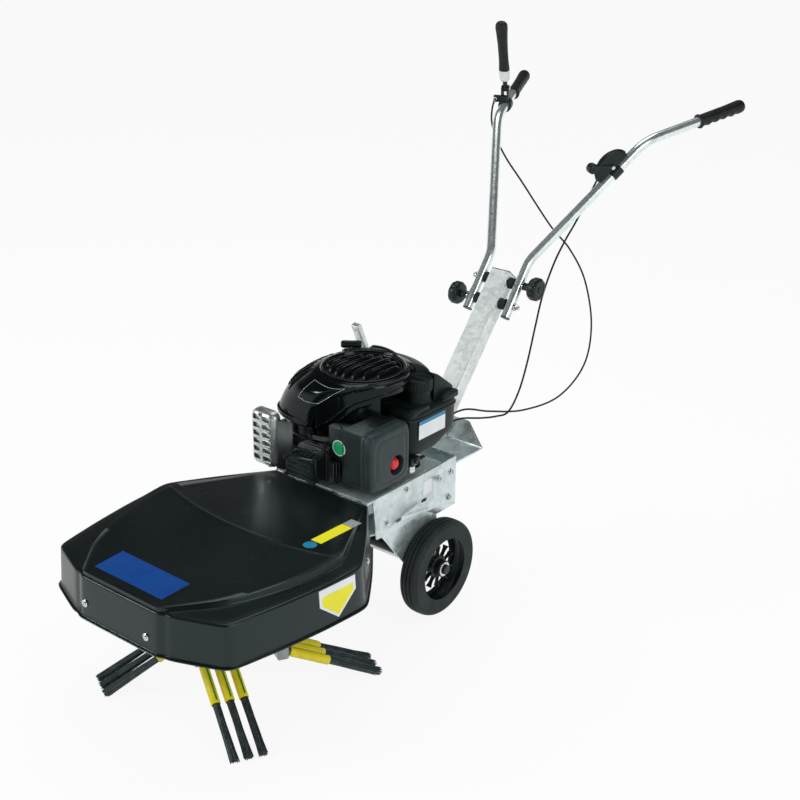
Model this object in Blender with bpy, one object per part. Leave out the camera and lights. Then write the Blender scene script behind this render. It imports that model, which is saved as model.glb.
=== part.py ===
"""Weed brush machine: a petrol engine drives a steel wire brush through a V belt.

Metres, +Z up. The machine drives towards -Y, the handles are at +Y, and the
operator's left is +X. Lengths along Y are measured from a point just in front of
the wheel axle; the whole machine then moves by SHIFT_Y so that the middle of its
length is at Y = 0.
"""
import bpy
import bmesh
import math
from mathutils import Matrix, Vector

for old in list(bpy.data.objects):
    bpy.data.objects.remove(old, do_unlink=True)

# Driving dimensions: whole machine
SHIFT_Y = -0.0905
GAP = 0.0003
RUN_GAP = 0.0005
SHEET = 0.004

# Wheels and axle
WHEEL_R = 0.125
WHEEL_BACK = 0.010
TYRE_W = 0.050
WHEEL_X = 0.163
RIM_R = 0.064
RIM_W = 0.046
SPOKES = 10
AXLE_R = 0.0125
AXLE_HALF = 0.194
HUB_R = 0.022

# Engine plate and frame
PLATE_HALF = 0.145
PLATE_TOP = 0.390
PLATE_FRONT = -0.238
PLATE_REAR = 0.048
SIDE_BOTTOM = 0.279
REAR_WEB_Y = 0.112
REAR_BOTTOM = 0.255
TRAY_REAR = 0.215
TRAY_Z = 0.366
TRAY_LIP = 0.042
TRAY_LIP_HALF = 0.069
TRAY_LIP_FOOT = 0.137

# Hood
HOOD_FRONT = -0.858
HOOD_HALF = 0.309
HOOD_TOP = 0.372
HOOD_CROWN = 0.021
HOOD_REAR_RISE = 0.013
HOOD_BOTTOM = 0.276
HOOD_DRAFT = 0.006
HOOD_LIP = 0.006
HOOD_WALL = 0.004

# Brush
SPINDLE_Y = -0.524
SPINDLE_R = 0.0125
DISC_R = 0.135
DISC_T = 0.006
DISC_Z = 0.139
GROUPS = 4
GROUP_START = -50.2
TUFT_SWEEP = 22.9
TUFT_SLOPE = 26.5
TUFT_PITCH = 0.032
SLEEVE_END_R = 0.196
SLEEVE_LEN = 0.112
SLEEVE_R = 0.0110
SLEEVE_WALL = 0.0022
WIRE_LEN = 0.143
WIRE_ROOT_R = 0.0085
WIRE_TIP_R = 0.0115
WIRE_SIDES = 7
TIP_RISE = 0.003
CLAMP_H = 0.034
CLAMP_D = 0.026

# Drive
CRANK_Y = -0.082
CRANK_R = 0.0127
BELT_Z = 0.322
BELT_W = 0.012
BELT_T = 0.008
DRIVE_R = 0.035
BRUSH_PULLEY_R = 0.080
PULLEY_H = 0.022
FLOOR_GAP = 0.0012
ARM_Z = 0.2835
ARM_T = 0.005
BEARING_R = 0.035
BEARING_DROP = 0.070
IDLER_R = 0.024
IDLER_PIVOT = (-0.118, -0.130)
IDLER_CLEAR = 0.008

# Engine
SHROUD_BASE = 0.505
DOME_R = 0.107
GRILLE_R = 0.097
DOME_Z = SHROUD_BASE + 0.143
DOME_TOP = DOME_Z + 0.004
DOME_TILT = 0.006
SIDE_R = 0.110
NOSE_ANGLE = -104.0
SIDE_END = 50.0
CAP_R = 0.032
CASE_R = 0.056
HEAD_X = -0.016

# Column and clamp
COLUMN_W = 0.058
COLUMN_D = 0.042
COLUMN_WALL = 0.003
COLUMN_TILT = 39.4
COLUMN_TOP = (0.482, 0.7356)
LOWER_BOLT = 0.082
UPPER_BOLT = 0.022
BUFFER_R = 0.015
BOLT_R = 0.004
KNOB_R = 0.030
KNOB_W = 0.026
KNOB_X = 0.110
HANDLE_SWING = 12.0

# Handle
TUBE_R = 0.0125
TUBE_WALL = 0.0018
TUBE_X = 0.060
TUBE_FOOT = 0.115
BEND_1 = (TUBE_X, COLUMN_TOP[0] + 0.0230, COLUMN_TOP[1] + 0.0394)
BEND_2 = (0.230, COLUMN_TOP[0] + 0.2700, COLUMN_TOP[1] + 0.3324)
TUBE_END = (0.3395, COLUMN_TOP[0] + 0.5510, COLUMN_TOP[1] + 0.3929)
BEND_R_1 = 0.090
BEND_R_2 = 0.130
GRIP_LEN = 0.150
GRIP_R = 0.0165


# Shared tools

def paint(obj, colour, roughness, metallic=0.0):
    """Give one object its own Principled material."""
    mat = bpy.data.materials.new(obj.name + "_finish")
    mat.use_nodes = True
    shader = mat.node_tree.nodes["Principled BSDF"]
    shader.inputs["Base Color"].default_value = (*colour, 1.0)
    shader.inputs["Roughness"].default_value = roughness
    shader.inputs["Metallic"].default_value = metallic
    obj.data.materials.clear()
    obj.data.materials.append(mat)
    mat.diffuse_color = (*colour, 1.0)


BLACK_PLASTIC = ((0.012, 0.013, 0.014), 0.35)
GREY_PLASTIC = ((0.035, 0.038, 0.042), 0.45)
RUBBER = ((0.016, 0.017, 0.018), 0.7)
ZINC = ((0.62, 0.66, 0.66), 0.35, 1.0)
STEEL = ((0.30, 0.31, 0.32), 0.4, 1.0)
WIRE = ((0.09, 0.10, 0.10), 0.45, 0.8)
YELLOW = ((0.85, 0.72, 0.02), 0.4)
RED = ((0.75, 0.02, 0.03), 0.35)
WHITE = ((0.80, 0.80, 0.78), 0.4)

machine = bpy.data.objects.new("machine", None)
machine.location = (0.0, SHIFT_Y, 0.0)
bpy.context.collection.objects.link(machine)


def place(name, mesh, finish, origin=(0, 0, 0), cutter=False):
    """Link a mesh whose points are in machine coordinates, with its origin on its axis."""
    origin = Vector(origin)
    mesh.transform(Matrix.Translation(-origin))
    obj = bpy.data.objects.new(name, mesh)
    obj.parent = machine
    obj.location = origin
    bpy.context.collection.objects.link(obj)
    mesh.shade_smooth()
    mesh.set_sharp_from_angle(angle=math.radians(35))
    if cutter:
        obj.hide_render = True
        obj.display_type = "WIRE"
    else:
        paint(obj, *finish)
    return obj


def mesh_from(bm, name):
    bmesh.ops.recalc_face_normals(bm, faces=bm.faces)
    mesh = bpy.data.meshes.new(name)
    bm.to_mesh(mesh)
    bm.free()
    return mesh


def box_mesh(name, lo, hi, bevel=0.0):
    bm = bmesh.new()
    bmesh.ops.create_cube(bm, size=1.0)
    size = [b - a for a, b in zip(lo, hi)]
    middle = [(a + b) / 2 for a, b in zip(lo, hi)]
    bmesh.ops.scale(bm, vec=size, verts=bm.verts)
    bmesh.ops.translate(bm, vec=middle, verts=bm.verts)
    if bevel:
        rounds = 2 if bevel > 0.012 else 1
        bmesh.ops.bevel(bm, geom=bm.edges[:], offset=bevel, segments=rounds, affect="EDGES", profile=0.5)
    return mesh_from(bm, name)


def prism_mesh(name, outline, axis, start, end):
    """Extrude a closed outline along one axis. The outline's two numbers are the other axes in order."""
    bm = bmesh.new()

    def point(pair, level):
        values = list(pair)
        values.insert("xyz".index(axis), level)
        return values

    rings = [[bm.verts.new(point(p, level)) for p in outline] for level in (start, end)]
    count = len(outline)
    for i in range(count):
        j = (i + 1) % count
        bm.faces.new((rings[0][i], rings[0][j], rings[1][j], rings[1][i]))
    bm.faces.new(rings[0])
    bm.faces.new(rings[1])
    return mesh_from(bm, name)


def turned_mesh(name, profile, segments=32, centre=(0, 0, 0), direction=(0, 0, 1)):
    """Revolve a profile of (radius, height) points. Points at radius 0 close on the axis."""
    bm = bmesh.new()
    rings = []
    for radius, height in profile:
        if radius <= 0:
            rings.append([bm.verts.new((0, 0, height))])
            continue
        ring = []
        for i in range(segments):
            angle = 2 * math.pi * i / segments
            ring.append(bm.verts.new((radius * math.cos(angle), radius * math.sin(angle), height)))
        rings.append(ring)
    closed = profile[0][0] > 0 and profile[-1][0] > 0
    pairs = list(zip(rings, rings[1:]))
    if closed:
        pairs.append((rings[-1], rings[0]))
    for low, high in pairs:
        for i in range(segments):
            j = (i + 1) % segments
            if len(low) == 1:
                bm.faces.new((low[0], high[j], high[i]))
            elif len(high) == 1:
                bm.faces.new((low[i], low[j], high[0]))
            else:
                bm.faces.new((low[i], low[j], high[j], high[i]))
    turn = Vector((0, 0, 1)).rotation_difference(Vector(direction)).to_matrix().to_4x4()
    bm.transform(Matrix.Translation(Vector(centre)) @ turn)
    return mesh_from(bm, name)


def frames_along(points):
    """Points with a direction and two side vectors that don't twist."""
    points = [Vector(p) for p in points]
    result = []
    side = None
    for i, point in enumerate(points):
        ahead = points[min(i + 1, len(points) - 1)]
        behind = points[max(i - 1, 0)]
        direction = (ahead - behind).normalized()
        if side is None:
            guess = Vector((1, 0, 0))
            if abs(direction.x) > 0.9:
                guess = Vector((0, 0, 1))
            side = (guess - direction * guess.dot(direction)).normalized()
        else:
            side = (side - direction * side.dot(direction)).normalized()
        result.append((point, direction, side, direction.cross(side)))
    return result


def tube_mesh(name, points, outer, inner, sides=16):
    """Sweep a hollow round section along points, open at both ends."""
    bm = bmesh.new()
    rings = []
    for point, _, side, other in frames_along(points):
        pair = []
        for radius in (outer, inner):
            ring = []
            for i in range(sides):
                angle = 2 * math.pi * i / sides
                ring.append(bm.verts.new(point + side * radius * math.cos(angle)
                                         + other * radius * math.sin(angle)))
            pair.append(ring)
        rings.append(pair)
    for first, second in zip(rings, rings[1:]):
        for layer in (0, 1):
            for i in range(sides):
                j = (i + 1) % sides
                bm.faces.new((first[layer][i], first[layer][j], second[layer][j], second[layer][i]))
    for pair in (rings[0], rings[-1]):
        for i in range(sides):
            j = (i + 1) % sides
            bm.faces.new((pair[0][i], pair[0][j], pair[1][j], pair[1][i]))
    return mesh_from(bm, name)


def cable(name, route, radius):
    """A round cable: a smooth curve through the route's own points, read at even steps."""
    count = 38
    knots = [Vector(p) for p in route]
    padded = [2 * knots[0] - knots[1]] + knots + [2 * knots[-1] - knots[-2]]
    dense = []
    for a, b, c, d in zip(padded, padded[1:], padded[2:], padded[3:]):
        for step in range(24):
            t = step / 24
            dense.append(0.5 * ((2 * b) + (c - a) * t + (2 * a - 5 * b + 4 * c - d) * t * t
                                + (3 * b - a - 3 * c + d) * t * t * t))
    dense.append(knots[-1])
    lengths = [0.0]
    for p, q in zip(dense, dense[1:]):
        lengths.append(lengths[-1] + (q - p).length)
    curve = bpy.data.curves.new(name, "CURVE")
    curve.dimensions = "3D"
    curve.bevel_depth = radius
    curve.bevel_resolution = 2
    curve.use_fill_caps = True
    curve.resolution_u = 1
    curve.render_resolution_u = 0
    spline = curve.splines.new("POLY")
    spline.points.add(count - 1)
    at = 0
    for i in range(count):
        want = lengths[-1] * i / (count - 1)
        while at < len(lengths) - 2 and lengths[at + 1] < want:
            at += 1
        share = (want - lengths[at]) / max(lengths[at + 1] - lengths[at], 1e-9)
        point = dense[at].lerp(dense[at + 1], min(max(share, 0.0), 1.0))
        spline.points[i].co = (*point, 1.0)
    obj = bpy.data.objects.new(name, curve)
    obj.parent = machine
    bpy.context.collection.objects.link(obj)
    paint(obj, *RUBBER)
    return obj


def cut(obj, cutter, operation="DIFFERENCE"):
    mod = obj.modifiers.new(cutter.name, "BOOLEAN")
    mod.operation = operation
    mod.solver = "EXACT"
    mod.object = cutter


def round_cutter(name, radius, centre, direction, length, segments=16):
    profile = [(0, -length / 2), (radius, -length / 2), (radius, length / 2), (0, length / 2)]
    mesh = turned_mesh(name, profile, segments, centre, direction)
    return place(name, mesh, None, cutter=True)


def rounded_path(corners, radii, steps=6):
    """A line through corners, with an arc of its own radius at each inner corner."""
    corners = [Vector(c) for c in corners]
    path = [corners[0]]
    for before, here, after, radius in zip(corners, corners[1:], corners[2:], radii):
        to_back = (before - here).normalized()
        to_front = (after - here).normalized()
        half = to_back.angle(to_front) / 2
        trim = radius / math.tan(half)
        centre = here + (to_back + to_front).normalized() * radius / math.sin(half)
        start = here + to_back * trim
        end = here + to_front * trim
        for step in range(steps + 1):
            arm = (start - centre).lerp(end - centre, step / steps).normalized()
            path.append(centre + arm * radius)
    path.append(corners[-1])
    return path


# Hood

HOOD_HALF_OUTLINE = [
    (0.0, HOOD_FRONT), (0.112, HOOD_FRONT), (0.122, HOOD_FRONT + 0.003), (0.132, HOOD_FRONT + 0.008),
    (0.150, HOOD_FRONT + 0.010), (0.242, HOOD_FRONT + 0.048), (0.256, HOOD_FRONT + 0.056),
    (0.264, HOOD_FRONT + 0.071), (0.286, HOOD_FRONT + 0.185), (0.301, HOOD_FRONT + 0.290),
    (HOOD_HALF, HOOD_FRONT + 0.396), (HOOD_HALF - 0.005, HOOD_FRONT + 0.420), (0.232, HOOD_FRONT + 0.518),
    (PLATE_HALF + 0.004, PLATE_FRONT - 0.002),
]
PANEL_HALF_OUTLINE = [
    (0.0, HOOD_FRONT + 0.005), (0.108, HOOD_FRONT + 0.005), (0.116, HOOD_FRONT + 0.007),
    (0.123, HOOD_FRONT + 0.014), (0.134, HOOD_FRONT + 0.028), (0.186, HOOD_FRONT + 0.092),
    (0.205, HOOD_FRONT + 0.123), (0.220, HOOD_FRONT + 0.155), (0.244, HOOD_FRONT + 0.230),
    (0.258, HOOD_FRONT + 0.300), (0.264, HOOD_FRONT + 0.375), (0.257, HOOD_FRONT + 0.410),
    (0.205, HOOD_FRONT + 0.497), (PLATE_HALF - 0.005, PLATE_FRONT - 0.002),
]
HOOD_CENTRE = Vector((0.0, PLATE_FRONT - 0.002))
CREASE_Y = -0.505


def crown_height(y):
    """Height of the raised panel along the machine: it climbs to a cross crease and falls to the plate."""
    if y < CREASE_Y:
        return HOOD_TOP + 0.009 + (HOOD_CROWN - 0.009) * (y - HOOD_FRONT) / (CREASE_Y - HOOD_FRONT)
    fall = (y - CREASE_Y) / (PLATE_FRONT - CREASE_Y)
    return HOOD_TOP + HOOD_CROWN - (HOOD_CROWN - HOOD_REAR_RISE - 0.001) * fall


def edge_height(y):
    """Height of the outer top edge: level along the flanks, rising to the engine plate."""
    share = (y + 0.52) / (PLATE_FRONT + 0.52)
    return HOOD_TOP + HOOD_REAR_RISE * min(max(share, 0.0), 1.0)


def full_outline(half):
    """Mirror a half outline that runs from the front middle to the rear."""
    return [(-x, y) for x, y in reversed(half[1:])] + list(half)


def push_out(points, distance):
    """Move outline points square to the outline."""
    moved = []
    for i, (x, y) in enumerate(points):
        ax, ay = points[max(i - 1, 0)]
        bx, by = points[min(i + 1, len(points) - 1)]
        along = Vector((bx - ax, by - ay)).normalized()
        moved.append((x + along.y * distance, y - along.x * distance))
    return moved


def hood_mesh():
    """One skin: lip, drafted wall, rounded top edge, flank, step, raised panel."""
    outer = full_outline(HOOD_HALF_OUTLINE)
    panel = full_outline(PANEL_HALF_OUTLINE)
    rings = []
    wall_foot = push_out(outer, HOOD_DRAFT)
    rings.append([(x, y, HOOD_BOTTOM - 0.001) for x, y in push_out(outer, HOOD_DRAFT + HOOD_LIP)])
    rings.append([(x, y, HOOD_BOTTOM + 0.002) for x, y in wall_foot])
    rings.append([(x, y, edge_height(y) - 0.005) for x, y in outer])
    edge = [(x, y) for x, y in push_out(outer, -0.004)]
    rings.append([(x, y, edge_height(y)) for x, y in edge])
    foot = []
    brow = []
    for (ex, ey), (px, py) in zip(edge, panel):
        span = math.hypot(px - ex, py - ey)
        step = min(0.006, 0.45 * span) / max(span, 1e-6)
        level = crown_height(py)
        foot.append((px + (ex - px) * step, py + (ey - py) * step, edge_height(py) + 0.001))
        brow.append((px, py, level - 0.001))
    rings.append(foot)
    rings.append(brow)
    for share in (0.97, 0.66, 0.33):
        ring = []
        for px, py in panel:
            x = HOOD_CENTRE.x + (px - HOOD_CENTRE.x) * share
            y = HOOD_CENTRE.y + (py - HOOD_CENTRE.y) * share
            ring.append((x, y, crown_height(y)))
        rings.append(ring)
    bm = bmesh.new()
    verts = [[bm.verts.new(p) for p in ring] for ring in rings]
    apex = bm.verts.new((HOOD_CENTRE.x, HOOD_CENTRE.y, crown_height(HOOD_CENTRE.y)))
    for low, high in zip(verts, verts[1:]):
        for i in range(len(low) - 1):
            bm.faces.new((low[i], low[i + 1], high[i + 1], high[i]))
    for a, b in zip(verts[-1], verts[-1][1:]):
        bm.faces.new((a, b, apex))
    return mesh_from(bm, "deck_hood")


def build_hood():
    hood = place("deck_hood", hood_mesh(), BLACK_PLASTIC)
    if sum(p.normal.z * p.area for p in hood.data.polygons) < 0:
        hood.data.flip_normals()
    wall = hood.modifiers.new("wall", "SOLIDIFY")
    wall.thickness = HOOD_WALL
    wall.offset = -1.0
    wall.use_even_offset = False


# Frame

def channel_outline(half, top, bottom, sheet):
    """Section of an upside-down channel, in X and Z."""
    return [(-half, bottom), (-half, top), (half, top), (half, bottom),
            (half - sheet, bottom), (half - sheet, top - sheet),
            (-half + sheet, top - sheet), (-half + sheet, bottom)]


def build_engine_plate():
    outline = channel_outline(PLATE_HALF, PLATE_TOP, SIDE_BOTTOM, SHEET)
    plate = place("engine_plate", prism_mesh("engine_plate", outline, "y", PLATE_FRONT, PLATE_REAR), ZINC)
    cut(plate, round_cutter("crank_hole", 0.030, (0, CRANK_Y, PLATE_TOP), (0, 0, 1), 0.05))
    front = [(PLATE_FRONT - 0.01, PLATE_TOP - 2 * SHEET), (PLATE_FRONT + 0.020, PLATE_TOP - 2 * SHEET),
             (PLATE_FRONT + 0.038, SIDE_BOTTOM - 0.01), (PLATE_FRONT - 0.01, SIDE_BOTTOM - 0.01)]
    reach = PLATE_HALF + 0.01
    cut(plate, place("side_front_cut", prism_mesh("side_front_cut", front, "x", -reach, reach), None,
                     cutter=True))


def build_rear_plate():
    """Deep folded plate behind the engine, with the tray folded out of its top and the open post."""
    half = PLATE_HALF - SHEET - GAP
    inner = half - SHEET
    front_y = 0.004
    web = REAR_WEB_Y
    outline = [(-half, front_y), (-half, web), (half, web), (half, front_y), (inner, front_y),
               (inner, web - SHEET), (-inner, web - SHEET), (-inner, front_y)]
    plate = place("rear_plate", prism_mesh("rear_plate", outline, "z", REAR_BOTTOM,
                                           PLATE_TOP - SHEET - GAP), ZINC)
    tray = [(web - SHEET, TRAY_Z), (TRAY_REAR, TRAY_Z), (TRAY_REAR + TRAY_LIP, TRAY_Z + TRAY_LIP),
            (TRAY_REAR + TRAY_LIP - 0.003, TRAY_Z + TRAY_LIP + 0.003), (TRAY_REAR - 0.0015, TRAY_Z + SHEET),
            (web - SHEET, TRAY_Z + SHEET)]
    tray_mesh = prism_mesh("tray_sheet", tray, "x", -half, half)
    cut(plate, place("tray_sheet", tray_mesh, None, cutter=True), "UNION")
    lip_top = TRAY_Z + TRAY_LIP
    floor_top = TRAY_Z + SHEET + 0.0005
    for sign in (1, -1):
        slant = [(sign * TRAY_LIP_HALF, lip_top + 0.01), (sign * TRAY_LIP_HALF, lip_top),
                 (sign * TRAY_LIP_FOOT, floor_top), (sign * (half + 0.01), floor_top),
                 (sign * (half + 0.01), lip_top + 0.01)]
        cut(plate, place("lip_slant_%d" % (sign + 2), prism_mesh("lip_slant", slant, "y", TRAY_REAR,
                                                               TRAY_REAR + 2 * TRAY_LIP), None, cutter=True))
    post_w = 0.024
    post_d = 0.014
    lean = math.radians(24)
    foot = Vector((-0.110, 0.164, TRAY_Z + 0.001))
    axis = Vector((0, -math.sin(lean), math.cos(lean)))
    turn = Matrix.Rotation(lean, 4, "X")
    post_len = 0.358
    post = box_mesh("post", (-post_w / 2, -post_d / 2, 0), (post_w / 2, post_d / 2, post_len))
    post.transform(Matrix.Translation(foot) @ turn)
    cut(plate, place("post", post, None, cutter=True), "UNION")
    bore = box_mesh("post_bore", (-post_w / 2 + 0.002, -post_d / 2 + 0.002, 0.02),
                    (post_w / 2 - 0.002, post_d / 2 - 0.002, post_len + 0.01))
    bore.transform(Matrix.Translation(foot) @ turn)
    cut(plate, place("post_bore", bore, None, cutter=True))
    return axis


def build_axle_bracket():
    """Two cheeks and a web that hang under the side plates and hold the axle."""
    half = PLATE_HALF - 2 * SHEET - 2 * GAP
    inner = half - SHEET
    top = PLATE_TOP - SHEET - 0.010
    low = WHEEL_R - 0.040
    rear = WHEEL_BACK + 0.028
    cheek = [(-0.185, top), (-0.170, SIDE_BOTTOM - 0.012), (-0.025, low), (rear, low), (rear, top)]
    bracket = place("axle_bracket", prism_mesh("axle_bracket", cheek, "x", -half, half), ZINC)
    hollow = [(-0.30, top + 0.01), (-0.30, low - 0.01), (rear - SHEET, low - 0.01),
              (rear - SHEET, top + 0.01)]
    cut(bracket, place("bracket_hollow", prism_mesh("bracket_hollow", hollow, "x", -inner, inner), None,
                       cutter=True))
    cut(bracket, round_cutter("axle_hole", AXLE_R + RUN_GAP, (0, WHEEL_BACK, WHEEL_R), (1, 0, 0), 0.5))


def build_axle():
    place("axle", turned_mesh("axle", [
        (0, -AXLE_HALF), (AXLE_R - 0.002, -AXLE_HALF), (AXLE_R, -AXLE_HALF + 0.002),
        (AXLE_R, AXLE_HALF - 0.002), (AXLE_R - 0.002, AXLE_HALF), (0, AXLE_HALF)],
        18, (0, WHEEL_BACK, WHEEL_R), (1, 0, 0)), BLACK_PLASTIC)


# Wheels

def tyre_profile():
    """Section of the tyre: tread with a middle groove, round shoulders, open towards the rim."""
    half = TYRE_W / 2
    bead = RIM_R + 0.0008
    side = [(bead, -half + 0.006), (bead + 0.008, -half), (WHEEL_R - 0.020, -half),
            (WHEEL_R - 0.007, -half + 0.006), (WHEEL_R, -half + 0.012)]
    mirrored = [(r, -h) for r, h in reversed(side)]
    return side + [(WHEEL_R, -0.002), (WHEEL_R - 0.002, 0.0), (WHEEL_R, 0.002)] + mirrored


def build_wheel(side_name, sign):
    centre = (sign * WHEEL_X, WHEEL_BACK, WHEEL_R)
    axis = (sign, 0, 0)
    place("tyre_" + side_name, turned_mesh("tyre_" + side_name, tyre_profile(), 30, centre, axis),
          RUBBER, centre)
    half = RIM_W / 2
    bore = AXLE_R + RUN_GAP
    web = 0.004
    profile = [(bore, -half), (HUB_R, -half), (HUB_R, -web), (RIM_R - 0.007, -web),
               (RIM_R - 0.005, -half + 0.004), (RIM_R, -half + 0.004), (RIM_R, half - 0.004),
               (RIM_R - 0.005, half - 0.004), (RIM_R - 0.007, web), (HUB_R, web), (HUB_R, half), (bore, half)]
    rim = place("rim_" + side_name, turned_mesh("rim_" + side_name, profile, 2 * SPOKES, centre, axis),
                BLACK_PLASTIC, centre)
    windows = bmesh.new()
    inner_r = HUB_R + 0.004
    outer_r = RIM_R - 0.009
    for i in range(SPOKES):
        middle = 2 * math.pi * (i + 0.5) / SPOKES
        wide = math.pi / SPOKES - 0.0025 / outer_r
        narrow = math.pi / SPOKES - 0.0025 / inner_r
        corners = [(inner_r, -narrow), (outer_r, -wide), (outer_r, wide), (inner_r, narrow)]
        loops = []
        for level in (-0.02, 0.02):
            loops.append([windows.verts.new((level, r * math.cos(middle + a), r * math.sin(middle + a)))
                          for r, a in corners])
        for j in range(4):
            k = (j + 1) % 4
            windows.faces.new((loops[0][j], loops[0][k], loops[1][k], loops[1][j]))
        windows.faces.new(loops[0])
        windows.faces.new(loops[1])
    bmesh.ops.translate(windows, vec=centre, verts=windows.verts)
    cut(rim, place("windows_" + side_name, mesh_from(windows, "windows_" + side_name), None, cutter=True))


# Brush head

def wire_end(bm, root, direction, side, other):
    """Rod end that carries the strands: rings of triangles, each drawn out to a strand of three sides."""
    inner = [root + (side * math.cos(a) + other * math.sin(a)) * WIRE_ROOT_R * 0.48
             for a in [2 * math.pi * i / WIRE_SIDES for i in range(WIRE_SIDES)]]
    outer = [root + (side * math.cos(a) + other * math.sin(a)) * WIRE_ROOT_R
             for a in [math.pi * i / WIRE_SIDES for i in range(2 * WIRE_SIDES)]]
    centre_vert = bm.verts.new(root)
    inner_verts = [bm.verts.new(p) for p in inner]
    outer_verts = [bm.verts.new(p) for p in outer]
    faces = []
    for i in range(WIRE_SIDES):
        j = (i + 1) % WIRE_SIDES
        a = 2 * i
        b = 2 * i + 1
        c = (2 * i + 2) % (2 * WIRE_SIDES)
        faces.append(bm.faces.new((centre_vert, inner_verts[i], inner_verts[j])))
        faces.append(bm.faces.new((inner_verts[i], outer_verts[a], outer_verts[b])))
        faces.append(bm.faces.new((inner_verts[i], outer_verts[b], inner_verts[j])))
        faces.append(bm.faces.new((inner_verts[j], outer_verts[b], outer_verts[c])))
    bmesh.ops.inset_individual(bm, faces=faces, thickness=0.00032, use_even_offset=True)
    for face in faces:
        middle = face.calc_center_median()
        offset = middle - root
        tip = bmesh.ops.extrude_discrete_faces(bm, faces=[face])["faces"][0]
        target = root + direction * WIRE_LEN + offset * (WIRE_TIP_R / WIRE_ROOT_R)
        for vert in tip.verts:
            vert.co += target - middle
        for vert in tip.verts:
            if vert.co.z < 0:
                vert.co -= direction * (vert.co.z / direction.z)
    return outer_verts


def tuft_frame(group, index):
    """Sleeve end, direction and row vector of one tuft."""
    place_angle = math.radians(GROUP_START + 360 / GROUPS * group)
    aim = place_angle + math.radians(TUFT_SWEEP)
    slope = math.radians(TUFT_SLOPE)
    row = Vector((-math.sin(aim), math.cos(aim), 0))
    flat = Vector((math.cos(aim), math.sin(aim), 0))
    direction = flat * math.cos(slope) - Vector((0, 0, 1)) * math.sin(slope)
    end_z = TIP_RISE + WIRE_LEN * math.sin(slope)
    end = Vector((SLEEVE_END_R * math.cos(place_angle), SPINDLE_Y + SLEEVE_END_R * math.sin(place_angle), end_z))
    return end + row * TUFT_PITCH * index, direction, row, flat


def build_tufts():
    """Four groups. A clamp bar carries three rods, each rod a wire bundle inside its own sleeve."""
    number = 0
    for group in range(GROUPS):
        end, direction, row, flat = tuft_frame(group, 0)
        root = end - direction * SLEEVE_LEN
        bar_top = DISC_Z - GAP
        turn = math.atan2(flat.y, flat.x)
        bar = box_mesh("wire_tufts_%d" % (group + 1), (-CLAMP_D, -TUFT_PITCH - 0.016, bar_top - CLAMP_H),
                       (0, TUFT_PITCH + 0.016, bar_top), 0.0015)
        bar.transform(Matrix.Translation((root.x, root.y, 0)) @ Matrix.Rotation(turn, 4, "Z"))
        bundle = place("wire_tufts_%d" % (group + 1), bar, WIRE, (0, SPINDLE_Y, 0))
        for index in (-1, 0, 1):
            number += 1
            end, direction, row, flat = tuft_frame(group, index)
            side = row
            other = direction.cross(side)
            bm = bmesh.new()
            rim = wire_end(bm, end, direction, side, other)
            back = end - direction * (SLEEVE_LEN + 0.012)
            ring = [bm.verts.new(v.co - direction * (SLEEVE_LEN + 0.012)) for v in rim]
            for i in range(len(rim)):
                j = (i + 1) % len(rim)
                bm.faces.new((rim[i], rim[j], ring[j], ring[i]))
            hub = bm.verts.new(back)
            for i in range(len(ring)):
                bm.faces.new((ring[i], ring[(i + 1) % len(ring)], hub))
            rod = place("rod_%02d" % number, mesh_from(bm, "rod_%02d" % number), None, cutter=True)
            cut(bundle, rod, "UNION")
            start = end - direction * (SLEEVE_LEN - 0.006)
            finish = end - direction * 0.001
            sleeve = tube_mesh("tuft_sleeve_%02d" % number, [start, finish], SLEEVE_R,
                               SLEEVE_R - SLEEVE_WALL, 12)
            place("tuft_sleeve_%02d" % number, sleeve, YELLOW, (0, SPINDLE_Y, 0))


def build_brush_disc():
    spindle_top = BELT_Z + PULLEY_H / 2 + 0.012
    place("brush_disc", turned_mesh("brush_disc", [
        (0, DISC_Z - 0.022), (0.022, DISC_Z - 0.022), (0.028, DISC_Z), (DISC_R, DISC_Z),
        (DISC_R, DISC_Z + DISC_T), (0.034, DISC_Z + DISC_T), (0.028, DISC_Z + DISC_T + 0.020),
        (SPINDLE_R, DISC_Z + DISC_T + 0.022), (SPINDLE_R, spindle_top), (0, spindle_top)],
        26, (0, SPINDLE_Y, 0)),
        STEEL, (0, SPINDLE_Y, 0))


def build_bearing_housing():
    top = ARM_Z - GAP
    bore = SPINDLE_R + RUN_GAP
    place("bearing_housing", turned_mesh("bearing_housing", [
        (bore, top - BEARING_DROP), (BEARING_R - 0.004, top - BEARING_DROP),
        (BEARING_R, top - BEARING_DROP + 0.004), (BEARING_R, top - 0.010), (0.055, top - 0.008),
        (0.055, top), (bore, top)], 20, (0, SPINDLE_Y, 0)), STEEL, (0, SPINDLE_Y, 0))


def build_brush_arm():
    """Flat arm from the side plates forward to the hood's front wall, with a hole for the spindle."""
    rear = PLATE_FRONT + 0.14
    half = PLATE_HALF - SHEET - GAP
    front = HOOD_FRONT + 0.012
    inside = half - 2 * SHEET - GAP - RUN_GAP
    outline = [(-inside, rear), (-inside, PLATE_FRONT + 0.045), (-0.075, -0.40), (-0.075, -0.62),
               (-0.110, front), (0.110, front), (0.075, -0.62), (0.075, -0.40),
               (inside, PLATE_FRONT + 0.045), (inside, rear), (0.060, rear), (0.060, -0.235),
               (-0.060, -0.235), (-0.060, rear)]
    arm = place("brush_arm", prism_mesh("brush_arm", outline, "z", ARM_Z, ARM_Z + ARM_T), ZINC)
    flange = box_mesh("front_flange", (-0.110, front, ARM_Z), (0.110, front + ARM_T, ARM_Z + 0.055))
    cut(arm, place("front_flange", flange, None, cutter=True), "UNION")
    cut(arm, round_cutter("spindle_hole", SPINDLE_R + 0.004, (0, SPINDLE_Y, ARM_Z), (0, 0, 1), 0.04))


# Belt drive

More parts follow.
